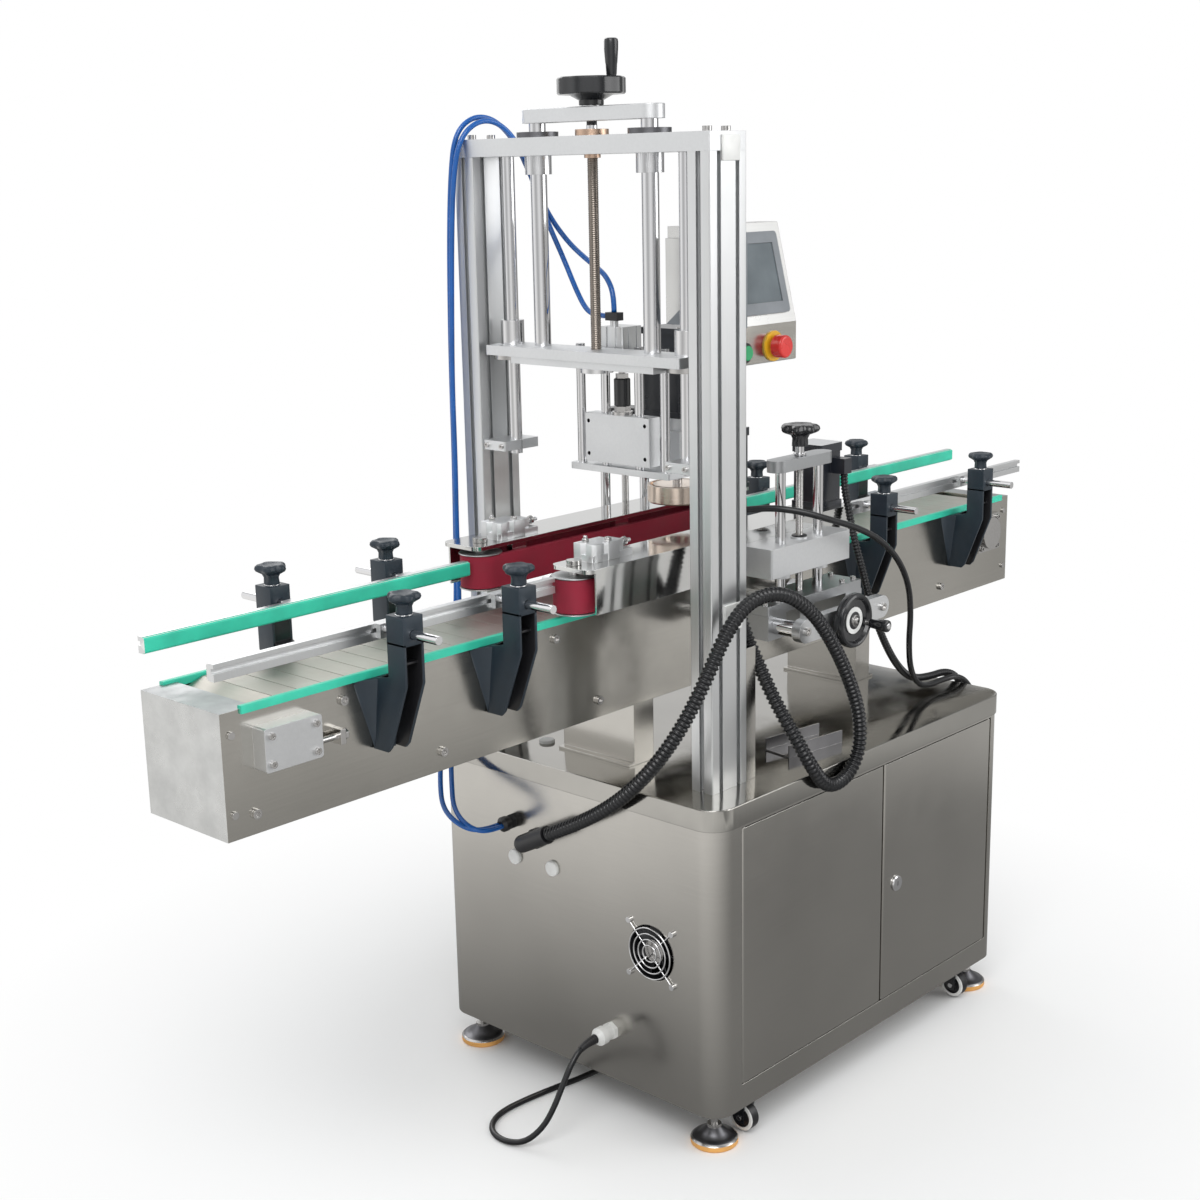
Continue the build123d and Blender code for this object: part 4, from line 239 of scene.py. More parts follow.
def metal(name, colour, rough, grain=EVEN_GRAIN, lines=0.03, clouds=0.03, smears=0.03, bump=0.0,
          edge=0.0008, wear=0.25, anisotropic=0.0):
    """Bare metal: grain stretches its brushed lines; lines, clouds and smears say how much each
    changes the colour or the gloss; worn edges turn paler by the share wear."""
    material, t, shader = new_material(name)
    mask = use(t, BRUSHED, Stretch=grain)
    worn = use(t, WORN, Width=edge)
    line = t.remap(mask["Lines"], 0.25, 0.75, -1, 1)
    cloud = t.remap(mask["Clouds"], 0.3, 0.7, -1, 1)
    smear = t.remap(mask["Smears"], 0.35, 0.65, -1, 1)
    level = t.plus(0.5, t.times(line, lines * 2), t.times(cloud, clouds * 2))
    base = t.blend(level, *[shade(colour, factor) for factor in METAL_SHADES])
    base = t.blend(t.times(worn["Edge"], wear), base, shade(colour, METAL_WORN))
    t.links.new(base, shader.inputs["Base Color"])
    gloss = t.plus(rough, t.times(smear, smears), t.times(line, lines * 0.5))
    t.links.new(t.remap(gloss, 0.02, 0.9, 0.02, 0.9), shader.inputs["Roughness"])
    shader.inputs["Metallic"].default_value = 1.0
    shader.inputs["Anisotropic"].default_value = anisotropic
    if bump:
        height = t.add("ShaderNodeBump", Strength=bump, Distance=0.0002, Height=mask["Lines"],
                       Normal=worn["Normal"])
        t.links.new(height.outputs["Normal"], shader.inputs["Normal"])
    else:
        t.links.new(worn["Normal"], shader.inputs["Normal"])
    return material


def plastic(name, colour, rough, scale=1500.0, bump=0.15, edge=0.0008, wear=0.15, coat=0.0,
            depth=0.0002):
    """Moulded plastic, rubber or paint with a fine skin."""
    material, t, shader = new_material(name)
    skin = use(t, SKIN, Scale=scale)
    worn = use(t, WORN, Width=edge)
    broad = t.remap(skin["Broad"], 0.3, 0.7)
    base = t.blend(broad, *[shade(colour, factor) for factor in PLASTIC_SHADES])
    pale = tuple(c + (0.5 - c) * 0.25 for c in colour[:3]) + (1.0,)
    base = t.blend(t.times(worn["Edge"], wear), base, pale)
    t.links.new(base, shader.inputs["Base Color"])
    glosses = [min(1.0, rough * factor) for factor in PLASTIC_GLOSSES]
    t.links.new(t.remap(broad, 0, 1, *glosses), shader.inputs["Roughness"])
    height = t.add("ShaderNodeBump", Strength=bump, Distance=depth, Height=skin["Height"],
                   Normal=worn["Normal"])
    t.links.new(height.outputs["Normal"], shader.inputs["Normal"])
    shader.inputs["Coat Weight"].default_value = coat
    return material


FINISH = {
    "cabinet": metal("cabinet steel", (0.50, 0.485, 0.455), 0.22, (14, 14, 900), 0.03, 0.06,
                     0.03, edge=0.0014, wear=0.55, anisotropic=0.4),
    "table": metal("table steel", (0.40, 0.39, 0.365), 0.12, (900, 14, 14), 0.03, 0.08, 0.05,
                   edge=0.0014, wear=0.6),
    "conveyor": metal("conveyor steel", (0.47, 0.455, 0.42), 0.19, (6, 900, 700), 0.04, 0.08, 0.04,
                      anisotropic=0.3),
    "cover": metal("cover sheet", (0.55, 0.555, 0.55), 0.34, (30, 30, 30), 0.10, 0.16, 0.12, 0.1),
    # A darker copy of the cover sheet for the covers' upward faces: painted shade on their tops.
    "lid": metal("shaded lid top", (0.33, 0.335, 0.34), 0.42, (30, 30, 30), 0.10, 0.14, 0.10, 0.1),
    "block": metal("milled block", (0.42, 0.43, 0.44), 0.36, EVEN_GRAIN, 0.03, 0.04, 0.04),
    "mirror": metal("polished cover", (0.62, 0.62, 0.61), 0.10, (8, 400, 400), 0.02, 0.05, 0.03),
    "console": metal("console steel", (0.62, 0.62, 0.61), 0.30, (8, 700, 700), 0.04, 0.05, 0.04),
    "chain": metal("chain steel", (0.42, 0.395, 0.36), 0.42, (300, 20, 30), 0.05, 0.08, 0.05, 0.05),
    "anodised": metal("anodised aluminium", (0.69, 0.70, 0.705), 0.38, (700, 700, 12)),
    "machined": metal("machined aluminium", (0.70, 0.71, 0.72), 0.40, (300, 300, 300), 0.04, 0.04,
                      0.04),
    "satin": metal("satin aluminium", (0.72, 0.73, 0.74), 0.46),
    "chrome": metal("ground chrome", (0.71, 0.71, 0.72), 0.12, (900, 900, 10)),
    "steel": metal("bright steel", (0.52, 0.51, 0.50), 0.22, EVEN_GRAIN, 0.05, 0.05, 0.06),
    "flange": metal("dark flange", (0.16, 0.16, 0.17), 0.34, EVEN_GRAIN, 0.05, 0.06, 0.06),
    "screw": metal("greased screw", (0.235, 0.205, 0.18), 0.26, (60, 60, 900), 0.12, 0.08, 0.06),
    "brass": metal("bronze nut", (0.62, 0.44, 0.33), 0.26, (300, 300, 300), 0.06, 0.05, 0.06),
    "copper": metal("copper pink", (0.90, 0.70, 0.60), 0.22, (30, 30, 900), 0.05, 0.04, 0.04),
    "bracket": plastic("bracket plastic", (0.017, 0.028, 0.040), 0.44),
    "black": plastic("black plastic", (0.014, 0.014, 0.016), 0.36),
    "enamel": plastic("black enamel", (0.012, 0.013, 0.015), 0.22, 900.0, 0.06, coat=0.3),
    "navy": plastic("motor enamel", (0.012, 0.015, 0.022), 0.30, 900.0, 0.08, coat=0.2),
    "green": plastic("green strip", (0.040, 0.60, 0.41), 0.42),
    "belt": plastic("red belt", (0.30, 0.012, 0.035), 0.75, 2600.0, 0.5, depth=0.0004, wear=0.3),
    "white": plastic("white plastic", (0.76, 0.76, 0.74), 0.35),
    "amber": plastic("amber pad", (0.82, 0.42, 0.12), 0.45),
    "grey": plastic("grey enamel", (0.24, 0.26, 0.28), 0.40, 700.0),
    "bezel": plastic("grey bezel", (0.205, 0.222, 0.24), 0.38),
    "screen": plastic("dark screen", (0.12, 0.145, 0.16), 0.10, coat=0.5, bump=0.01),
    "blue": plastic("blue tube", (0.006, 0.105, 0.40), 0.24, wear=0.0, coat=0.2),
    "conduit": plastic("black conduit", (0.008, 0.0085, 0.010), 0.22, wear=0.05),
    "red": plastic("red button", (0.62, 0.020, 0.016), 0.26, coat=0.4),
    "lime": plastic("green button", (0.015, 0.36, 0.13), 0.26, coat=0.4),
    "yellow": plastic("yellow collar", (0.82, 0.47, 0.02), 0.32),
}


CAD_SHARP, DETAIL_SHARP, BEVEL_ANGLE = radians(32), radians(34), radians(40)
WELD_DISTANCE = 0.00001


def vectors_of(items, key):
    """One row of three numbers for each face or vertex."""
    values = np.zeros(len(items) * 3)
    items.foreach_get(key, values)
    return values.reshape(-1, 3)


def dress(node, finish, *zones):
    """Finish of a CAD node, then of each zone: the faces whose middle in millimetres and
    normal pass its test. Sharp edges stay sharp."""
    piece = NODES[node]
    mesh = piece.data
    middle = vectors_of(mesh.polygons, "center").T * 1000
    normal = vectors_of(mesh.polygons, "normal").T
    numbers = np.zeros(len(mesh.polygons), np.int32)
    mesh.materials.clear()
    mesh.materials.append(FINISH[finish])
    for number, (name, test) in enumerate(zones, 1):
        mesh.materials.append(FINISH[name])
        numbers[test(*middle, normal)] = number
    mesh.polygons.foreach_set("material_index", numbers)
    mesh.polygons.foreach_set("use_smooth", np.ones(len(mesh.polygons), bool))
    weld = piece.modifiers.new("weld", "WELD")
    weld.merge_threshold = WELD_DISTANCE
    split = piece.modifiers.new("split", "EDGE_SPLIT")
    split.split_angle = CAD_SHARP


GANTRY_X, SPINDLE_X, ADJUST_X = -174.4, 7.0, 84.5
SIDES = (("near", -1, 0.0), ("far", 1, 8.5))
POST_Y = 181.0
SHAFT_Y, COLUMN_SHAFT_Y = 110.0, 175.0
BEAM_TOP, CARRIAGE_TOP = 1475.1, 1170.1
MIDDLE_X, GUIDE_Z = -24.0, 799.5
PLATE_Y, HEAD_Y = 82.9, 102.1
LOCK_X, LOCK_Z, LOCK_FACE_Y, SHADED_KEYWAY = 188.5, 292.0, -306.0, (1.2, 4.2)
CASTER_Y, CASTER_Z, AXLE_RADIUS, TYRE_RADIUS = (-279.0, 253.0), 25.0, 4.1, 15.5
FAN_Y, FAN_Z, FAN_HUB, CABINET_LEFT = -176.8, 293.6, 18.0, -271.05
PANEL_Y, PANEL_Z = -175.1, 1200.0


def above(level):
    return lambda x, y, z, n: z > level


def below(level):
    return lambda x, y, z, n: z < level


def between(low, high):
    return lambda x, y, z, n: (z > low) & (z < high)


def round_z(x, y, at, radius):
    """Faces within a radius of an upright axis, or of its mirror image across the middle."""
    return np.hypot(x - at[0], abs(y) - at[1]) < radius


def screen_height(y, z):
    """Distance of a point in front of the console's leaning face."""
    return -(y + 157.0) * 0.9712 + (z - 1273.3) * 0.2385


for name in ("cabinet_shell", "door_left", "door_right"):
    dress(name, "cabinet")
# The keyway's inner faces are black: painted shade inside the keyhole.
dress("door_lock", "chrome", ("black", lambda x, y, z, n: (y > LOCK_FACE_Y) & (
    abs(x - LOCK_X) < SHADED_KEYWAY[0]) & (abs(z - LOCK_Z) < SHADED_KEYWAY[1])))
# The upright faces inside the tabletop, the tray's walls, get the dark flange finish: painted shade
# in the tray.
dress("top_plate", "table", ("flange", lambda x, y, z, n: (abs(n[2]) < 0.5) & (
    abs(x) < 255) & (abs(y) < 275)))
dress("levelling_feet", "steel", ("amber", below(8.8)), ("flange", between(12, 27)))
for index in range(4):
    wheel_y = CASTER_Y[index % 2]
    dress(f"caster_wheel_{index + 1}", "black", ("white", lambda x, y, z, n: (
        np.hypot(y - wheel_y, z - CASTER_Z) > TYRE_RADIUS) & (abs(n[0]) > 0.35)))
dress("caster_forks", "enamel", ("chrome", lambda x, y, z, n: (
    abs(z - CASTER_Z) < AXLE_RADIUS) & ((abs(y - CASTER_Y[0]) < AXLE_RADIUS) | (
        abs(y - CASTER_Y[1]) < AXLE_RADIUS))))
dress("fan_frame", "black", ("chrome", lambda x, y, z, n: x < CABINET_LEFT))
dress("fan_rotor", "black", ("steel", lambda x, y, z, n: (n[0] < -0.9) & (
    np.hypot(y - FAN_Y, z - FAN_Z) < FAN_HUB)))
dress("cable_glands", "black", ("white", lambda x, y, z, n: (z < 200) | (
    (x < 0) & (((z > 355) & (z < 395)) | (z > 530)))))
dress("electrical_panel", "cover", ("grey", lambda x, y, z, n: y < 193.9))
dress("gantry_columns", "anodised")
dress("top_beam", "satin", ("steel", above(BEAM_TOP + 0.1)))
dress("gantry_fittings", "machined",
      ("chrome", lambda x, y, z, n: round_z(x, y, (GANTRY_X, COLUMN_SHAFT_Y), 10.2) | (
          round_z(x, y, (GANTRY_X, SHAFT_Y), 22.0) & (z < 1450))),
      ("flange", lambda x, y, z, n: (z > BEAM_TOP) & (abs(y) > 70)),
      ("brass", lambda x, y, z, n: (z > 1440) & (abs(y) < 26)),
      ("cabinet", lambda x, y, z, n: (z < 750) & (x > GANTRY_X + 39)),
      ("white", lambda x, y, z, n: (y < -249.9) & (abs(z - 801) < 20)),
      ("steel", lambda x, y, z, n: (x < GANTRY_X - 37.1) & (z > 1000) & (z < 1030)))
dress("carriage", "satin",
      ("chrome", lambda x, y, z, n: ((z > CARRIAGE_TOP) & (abs(y) > 150)) | (z < 1144.3)),
      ("steel", lambda x, y, z, n: (z < 1154.5) & (z > 1146) & round_z(
          x, y, (GANTRY_X, COLUMN_SHAFT_Y), 31)),
      ("anodised", lambda x, y, z, n: (z > CARRIAGE_TOP) & (abs(y) < 30)),
      ("black", above(1208.9)))
dress("carriage_shafts", "satin", ("chrome", below(1495.3)))
dress("press_block", "satin",
      ("steel", above(1067.1)),
      ("enamel", between(1079.9, 1122.1)),
      ("black", lambda x, y, z, n: (x > -133.9) & (x < -127.5) & (
          abs(abs(y) - 57) < 3.2)))
dress("head_carrier", "machined", ("chrome", above(987.1)))
dress("head_motor", "navy", ("machined", below(1052.9)), ("steel", above(1190.1)))
dress("chuck", "copper", ("chrome", lambda x, y, z, n: (z > 944.2) & (
    np.hypot(x - SPINDLE_X, y) < 20.5)))
dress("cross_slide_rails", "machined",
      ("chrome", lambda x, y, z, n: (
          np.hypot(abs(x - ADJUST_X) - 100, z - 750) < 12.8) & (
          abs(y) > 93.8) & (abs(y) < 255)),
      ("steel", lambda x, y, z, n: abs(y) > 270.1))
dress("conveyor_frame", "conveyor",
      ("green", lambda x, y, z, n: (z > GUIDE_Z) & (abs(x - MIDDLE_X) < 889) & (
          (abs(y) > 83.5) | (z > 806.2) | (abs(abs(y) - 78.2) < 0.3))),
      ("cover", lambda x, y, z, n: (abs(x + 25.5) > 909) | (
          (z > 803) & (abs(x + 25.5) > 871) & (abs(y) < 82.8) & (abs(n[2]) > 0.5))),
      # The covers' upward faces take the darker copy: painted shade on their tops.
      ("lid", lambda x, y, z, n: (abs(x + 25.5) > 865) & (abs(y) < 82.8) & (
          n[2] > 0.5) & (z > 790)),
      ("satin", lambda x, y, z, n: (abs(y) > PLATE_Y) & (x < -800.9) & (x > -889.5) & (
          z > 723) & (z < 781)),
      ("steel", lambda x, y, z, n: (abs(y) > PLATE_Y) & (
          (z < 700) | ((z > 772) & (z < 788) & (abs(x + 845) > 46)) | (
              (x > -800.9) & (x < -750)) | (abs(y) > 106.8) | (x > 760))),
      ("cabinet", below(642.5)),
      ("white", lambda x, y, z, n: (abs(y) > 51.9) & (abs(y) < 64.1) & (z > 672) & (
          z < 801.9) & (abs(x + 20) < 790)))
dress("slat_chain", "chain")
dress("conveyor_gearmotor", "grey")
for name in ("conveyor_drive_shaft", "conveyor_idle_shaft"):
    dress(name, "steel")
for name in ("rail_near_infeed", "rail_far_infeed", "rail_near_outfeed", "rail_far_outfeed"):
    dress(name, "anodised",
          ("green", lambda x, y, z, n: (abs(y) < 84.1) & (abs(n[1]) > 0.3) & (
              abs(n[0]) < 0.5)),
          ("white", lambda x, y, z, n: (abs(y) < 84.1) & (abs(n[1]) <= 0.3)),
          ("chrome", lambda x, y, z, n: (abs(y) > HEAD_Y)))
dress("hmi_console", "console",
      ("conveyor", lambda x, y, z, n: (n[1] < -0.95) & (z < PANEL_Z)),
      ("bezel", lambda x, y, z, n: (screen_height(y, z) > 0.3) & (z > PANEL_Z + 5)),
      ("screen", lambda x, y, z, n: (abs(screen_height(y, z) - 3.6) < 0.25) & (
          abs(x + 26) < 79) & (z > PANEL_Z + 5)),
      ("yellow", lambda x, y, z, n: (y < PANEL_Y) & (z < PANEL_Z - 5) & (x > -10)),
      ("black", lambda x, y, z, n: (y < PANEL_Y) & (z < PANEL_Z - 5) & (x < -10)))
dress("emergency_stop", "red")
dress("start_button", "lime")
dress("mains_plug", "black", ("brass", lambda x, y, z, n: x > 19))
for name in ("lead_screw", "rail_brackets", "machine_conduits", "air_tubes", "mains_cord_lead",
             "mains_cord_coil"):
    dress(name, "black")
for side, sign, lift in SIDES:
    dress(f"cross_slide_{side}", "block",
          ("chrome", lambda x, y, z, n: (z > 783.2) & (z < 976.8) & (
              np.hypot(abs(x - ADJUST_X) - 48.5, abs(y) - POST_Y) < 8.3)),
          ("steel", lambda x, y, z, n: (z > 783.1) & (z < 790) & (
              abs(abs(y) - POST_Y) > 15)))
    dress(f"cross_screw_{side}", "black")
    dress(f"height_screw_{side}", "black")
    dress(f"belt_unit_{side}", "mirror",
          ("satin", lambda x, y, z, n: (abs(y) > 144.05) & (x > -18) & (x < 187.1) & (
              z < 880)),
          ("machined", lambda x, y, z, n: (z > 885.1 + lift) & (x < -200)))
    dress(f"side_belt_{side}", "belt")
    dress(f"drive_pulley_{side}", "machined")
    dress(f"idler_pulley_{side}", "steel")
    dress(f"belt_motor_{side}", "navy", ("machined", above(987.9 + lift)))


# Meshes

def add_mesh(name, points, faces, finish, body, slot):
    """New piece from points and faces, riding on a body where one is given."""
    mesh = bpy.data.meshes.new(name)
    mesh.from_pydata(np.asarray(points, float).tolist(), [], [list(f) for f in faces])
    mesh.polygons.foreach_set("use_smooth", np.ones(len(mesh.polygons), bool))
    mesh.materials.append(FINISH[finish])
    piece = add_object(name, mesh)
    if body:
        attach(piece, body)
    return piece


def grid_faces(rows, columns, wrap_rows=False):
    """Quads between rows of points, each row a closed ring of columns points."""
    r = np.arange(rows if wrap_rows else rows - 1)
    r, c = (v.ravel() for v in np.meshgrid(r, np.arange(columns), indexing="ij"))
    r2, c2 = (r + 1) % rows, (c + 1) % columns
    return np.stack([r * columns + c, r * columns + c2, r2 * columns + c2, r2 * columns + c], 1)


def closed_rows(rows, around):
    """Quads between rings of points and a flat face over each end."""
    faces = grid_faces(rows, around).tolist()
    last = (rows - 1) * around
    return faces + [list(range(around))[::-1], list(range(last, last + around))]


def frames_along(path):
    """Tangents and two normals carried along a path without twist."""
    path = np.asarray(path, float)
    tangent = np.gradient(path, axis=0)
    tangent /= np.linalg.norm(tangent, axis=1)[:, None]
    first = np.cross(tangent[0], (0.0, 0.0, 1.0))
    if np.linalg.norm(first) < 1e-3:
        first = np.cross(tangent[0], (0.0, 1.0, 0.0))
    normal = np.zeros_like(path)
    normal[0] = first / np.linalg.norm(first)
    for i in range(1, len(path)):
        leant = normal[i - 1] - tangent[i] * (normal[i - 1] @ tangent[i])
        normal[i] = leant / np.linalg.norm(leant)
    return tangent, normal, np.cross(tangent, normal)


def tube_along(path, radii, around):
    """Tube: circles of the given radii carried along a path, closed at both ends."""
    tangent, normal, side = frames_along(path)
    turn = np.linspace(0, tau, around, endpoint=False)
    cosines, sines = np.cos(turn)[None, :, None], np.sin(turn)[None, :, None]
    ring = normal[:, None] * cosines + side[:, None] * sines
    points = (np.asarray(path)[:, None] + ring * np.asarray(radii)[:, None, None]).reshape(-1, 3)
    return points, [face[::-1] for face in closed_rows(len(path), around)]


def spline(name, points):
    """Open NURBS curve with these control points."""
    data = bpy.data.curves.new(name, "CURVE")
    data.dimensions = "3D"
    data.resolution_u = 24
    line = data.splines.new("NURBS")
    line.points.add(len(points) - 1)
    line.points.foreach_set("co", np.c_[np.asarray(points, float), np.ones(len(points))].ravel())
    line.order_u = 3
    line.use_endpoint_u = True
    return data


def line_of(name, points):
    """Points along the NURBS spline of a route."""
    holder = add_object(name, spline(name, points))
    mesh = bpy.data.meshes.new_from_object(holder)
    found = vectors_of(mesh.vertices, "co")
    bpy.data.objects.remove(holder)
    bpy.data.meshes.remove(mesh)
    return found


def evenly(path, step):
    """The same line with points at an even spacing close to step."""
    along = np.r_[0, np.cumsum(np.linalg.norm(np.diff(path, axis=0), axis=1))]
    count = max(2, int(round(along[-1] / step)) + 1)
    wanted = np.linspace(0, along[-1], count)
    return np.stack([np.interp(wanted, along, path[:, k]) for k in range(3)], 1), along[-1]


# Shapes for the detail pieces, in millimetres

def rings(radii, heights, angle):
    """Closed surface through level rings: a row of radii, by angle, and a height for each."""
    level = np.repeat(heights[:, None], len(angle), 1)
    points = np.stack([radii * np.cos(angle), radii * np.sin(angle), level], -1)
    return points.reshape(-1, 3), closed_rows(len(heights), len(angle))


def turned(profile, around=48, lobes=0, depth=None):
    """Profile of radius and height pairs turned about Z, upwards on its outer side; with lobes
    the radius swells by the share depth times the cosine of lobes times the angle."""
    radius, height = np.asarray(profile, float).T
    angle = np.linspace(0, tau, around, endpoint=False)
    swell = 1 + np.outer(depth, np.cos(lobes * angle)) if lobes else np.ones((len(radius), around))
    return rings(radius[:, None] * swell, height, angle)


def threaded(radius, low, high, pitch, depth, around=20, steps=5):
    """Screw thread: the radius falls by depth towards the root, whose place on the pitch moves
    once along it with each turn of the angle."""
    height = np.linspace(low, high, int((high - low) / pitch * steps) + 1)
    angle = np.linspace(0, tau, around, endpoint=False)
    share = (height[:, None] / pitch - angle[None, :] / tau) % 1.0
    return rings(radius - depth * (1 - abs(2 * share - 1)), height, angle)


def lofted(*sections):
    """Closed form between outlines with equal numbers of points, counter-clockwise from above,
    given from the lowest up."""
    return np.concatenate([np.asarray(v, float) for v in sections]), closed_rows(
        len(sections), len(sections[0]))


def slab(outline, low, high):
    """Outline counter-clockwise from above, carried from one height to another."""
    flat = np.asarray(outline, float)
    return lofted(*[np.c_[flat, np.full(len(flat), z)] for z in (low, high)])


def bored_block(half, low, high, bore, length, steps=8):
    """Rectangle from minus half to half and low to high, with a round bore about the origin,
    carried along Z by length: four rings, outer and inner at each end."""
    ramp = np.linspace(0, 1, steps, endpoint=False)
    corners = np.array([(-half, low), (half, low), (half, high), (-half, high), (-half, low)])
    outer = np.concatenate([a + (b - a) * ramp[:, None] for a, b in zip(corners[:-1], corners[1:])])
    inner = bore * outer / np.linalg.norm(outer, axis=1)[:, None]
    points = np.concatenate([np.c_[ring, np.full(len(ring), z)] for ring, z in (
        (outer, 0.0), (outer, length), (inner, length), (inner, 0.0))])
    return points, grid_faces(4, len(outer), wrap_rows=True).tolist()


TURNS = {
    "Z": ((1, 0, 0), (0, 1, 0), (0, 0, 1)),
    "+Y": ((1, 0, 0), (0, 0, 1), (0, -1, 0)),
    "-Y": ((1, 0, 0), (0, 0, -1), (0, 1, 0)),
    "+X": ((0, 0, 1), (0, 1, 0), (-1, 0, 0)),
    "half": ((-1, 0, 0), (0, -1, 0), (0, 0, 1)),
}


def put(shape, at=(0, 0, 0), axis="Z"):
    """A shape with its Z axis laid along another axis, or turned half round, then moved."""
    points, faces = shape
    return points @ np.array(TURNS[axis], float).T + np.array(at, float), faces


def gather(name, body, slot, parts, bevel=0.0, replaced=()):
    """One piece riding on a body, from closed surfaces, each with its finish, its shape and, where
    they aren't the origin and Z, its place and axis."""
    points, faces, numbers, finishes, start = [], [], [], [], 0
    for finish, *placed in parts:
        part_points, part_faces = put(*placed)
        if finish not in finishes:
            finishes.append(finish)
        points.append(part_points)
        faces += [[start + i for i in face] for face in part_faces]
        numbers += [finishes.index(finish)] * len(part_faces)
        start += len(part_points)
    piece = add_mesh(name, np.concatenate(points) / 1000, faces, finishes[0], body, slot)
    for finish in finishes[1:]:
        piece.data.materials.append(FINISH[finish])
    piece.data.polygons.foreach_set("material_index", np.array(numbers, np.int32))
    if bevel:
        round_edges = piece.modifiers.new("bevel", "BEVEL")
        round_edges.width, round_edges.segments = bevel / 1000, 2
        round_edges.limit_method, round_edges.angle_limit = "ANGLE", BEVEL_ANGLE
    split = piece.modifiers.new("split", "EDGE_SPLIT")
    split.split_angle = DETAIL_SHARP
    if replaced:
        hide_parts(*replaced)
    return piece


# Lift screw and its handwheel

WHEEL_LOW, WHEEL_HIGH, WHEEL_RADIUS = 1532.0, 1556.0, 49.0
HUB_LOW = 1517.0


def lift_wheel():
    """Hub, cone and thick rim in one turned profile, with nine shallow finger waves on the rim."""
    rim = WHEEL_RADIUS
    profile = [(17, HUB_LOW), (18, HUB_LOW + 1), (18, HUB_LOW + 7), (20, HUB_LOW + 8),
               (33, WHEEL_LOW), (rim - 2, WHEEL_LOW), (rim, WHEEL_LOW + 2), (rim, WHEEL_HIGH - 2),
               (rim - 2, WHEEL_HIGH), (rim - 8, WHEEL_HIGH), (rim - 11, WHEEL_HIGH - 3),
               (rim - 13, WHEEL_LOW + 10), (22, WHEEL_LOW + 8), (18, WHEEL_HIGH - 5),
               (16, WHEEL_HIGH - 3.5)]
    depth = np.zeros(len(profile))
    depth[5:9] = 0.022
    return turned(profile, 108, 9, depth)


def grip(reach, thick):
    """Tapered handle, thicker towards its rounded end, with a step a third of the way up."""
    return turned([(0.62 * thick, 0), (0.72 * thick, 0.04 * reach), (0.80 * thick, 0.32 * reach),
                   (0.84 * thick, 0.34 * reach), (0.98 * thick, 0.72 * reach), (thick, 0.9 * reach),
                   (0.94 * thick, 0.97 * reach), (0.74 * thick, reach)], 32)


gather("lift_screw", "lead_screw", "screw_steel", [
    *[(finish, shape, (GANTRY_X, 0, 0)) for finish, shape in (
        ("screw", threaded(8, 1138.4, 1484, 3, 0.9)),
        ("chrome", turned([(8, 1484), (8, 1489.5)], 32)),
        ("black", turned([(7.5, 1489.5), (7.5, 1495.2)], 32)),
        ("chrome", turned([(8, 1495.2), (8, 1515.8), (15, 1515.8), (15, 1517)], 32)),
        ("enamel", lift_wheel()),
        ("steel", turned([(9, 1552.4), (9, 1555.5), (8, 1556.5)], 6)))],
    ("enamel", grip(51, 10.3), (GANTRY_X, -40, 1555.8)),
], replaced=("lead_screw",))


# Star knobs, height screws and cross feed handwheels

KNOB_NECK = ((1, 0), (1.03, 0.10), (1, 0.34), (1.22, 0.50))
KNOB_STAR = ((0.80, 0.60), (0.93, 0.66), (1, 0.76), (0.96, 0.89), (0.84, 0.97), (0.64, 1),
             (0.44, 0.95), (0.2, 0.93))
KNOB_FLUTES = (0, 0.05, 0.10, 0.14, 0.14, 0.14, 0.13, 0.13, 0.11, 0.05, 0, 0)


def star_knob(radius, neck, high, lobes, around=90):
    """Clamping knob: a fluted neck that spreads into a rounded star with a hollow top. Its
    profile is in shares of the neck's or the star's radius and of the height."""
    profile = [(neck * r, high * z) for r, z in KNOB_NECK]
    profile += [(radius * r, high * z) for r, z in KNOB_STAR]
    return turned([(r / (1 + d), z) for (r, z), d in zip(profile, KNOB_FLUTES)], around, lobes,
                  KNOB_FLUTES)


def hand_wheel():
    """Dished wheel with a rounded rim, its back at height zero."""
    return turned([(15, 0), (17, 1), (34, 4), (38, 2.5), (41.5, 4), (42.5, 7), (42.5, 13),
                   (41, 16.5), (38, 18), (35, 17), (32.5, 12), (22, 10.5), (21, 11.5)], 72)


FEED_Y, COLLAR_Y, WHEEL_Y, FEED_Z = 100.4, 270.4, 274.3, 750.0
FEED_BASE, WHEEL_FACE = (ADJUST_X, FEED_Y, FEED_Z), (ADJUST_X, WHEEL_Y, FEED_Z)
HANDLE_X, HANDLE_Z = ADJUST_X + 33.5, 740.0
CROSS_PARTS = [
    ("steel", threaded(6, 0, 268 - FEED_Y, 2, 0.6, 16, 4), FEED_BASE),
    ("machined", turned([(16, COLLAR_Y - FEED_Y), (16, WHEEL_Y - FEED_Y)], 40), FEED_BASE),
    ("enamel", hand_wheel(), WHEEL_FACE),
    ("white", turned([(21, 10.8), (21, 12.4), (14, 12.4)], 48), WHEEL_FACE),
    ("black", turned([(13.6, 11), (13.6, 12.8), (12, 13.4)], 48), WHEEL_FACE),
    ("steel", turned([(9.5, 12), (9.5, 15), (8.5, 16), (5, 16), (5, 18), (4, 18.6)], 40),
     WHEEL_FACE),
    ("steel", turned([(4.5, 10), (4.5, 20)], 20), (HANDLE_X, WHEEL_Y, HANDLE_Z)),
    ("enamel", grip(33, 9.6), (HANDLE_X, 293.2, HANDLE_Z)),
    ("chrome", turned([(5, 0), (5, 1.2), (4, 1.7)], 24), (HANDLE_X, 326.1, HANDLE_Z)),
]
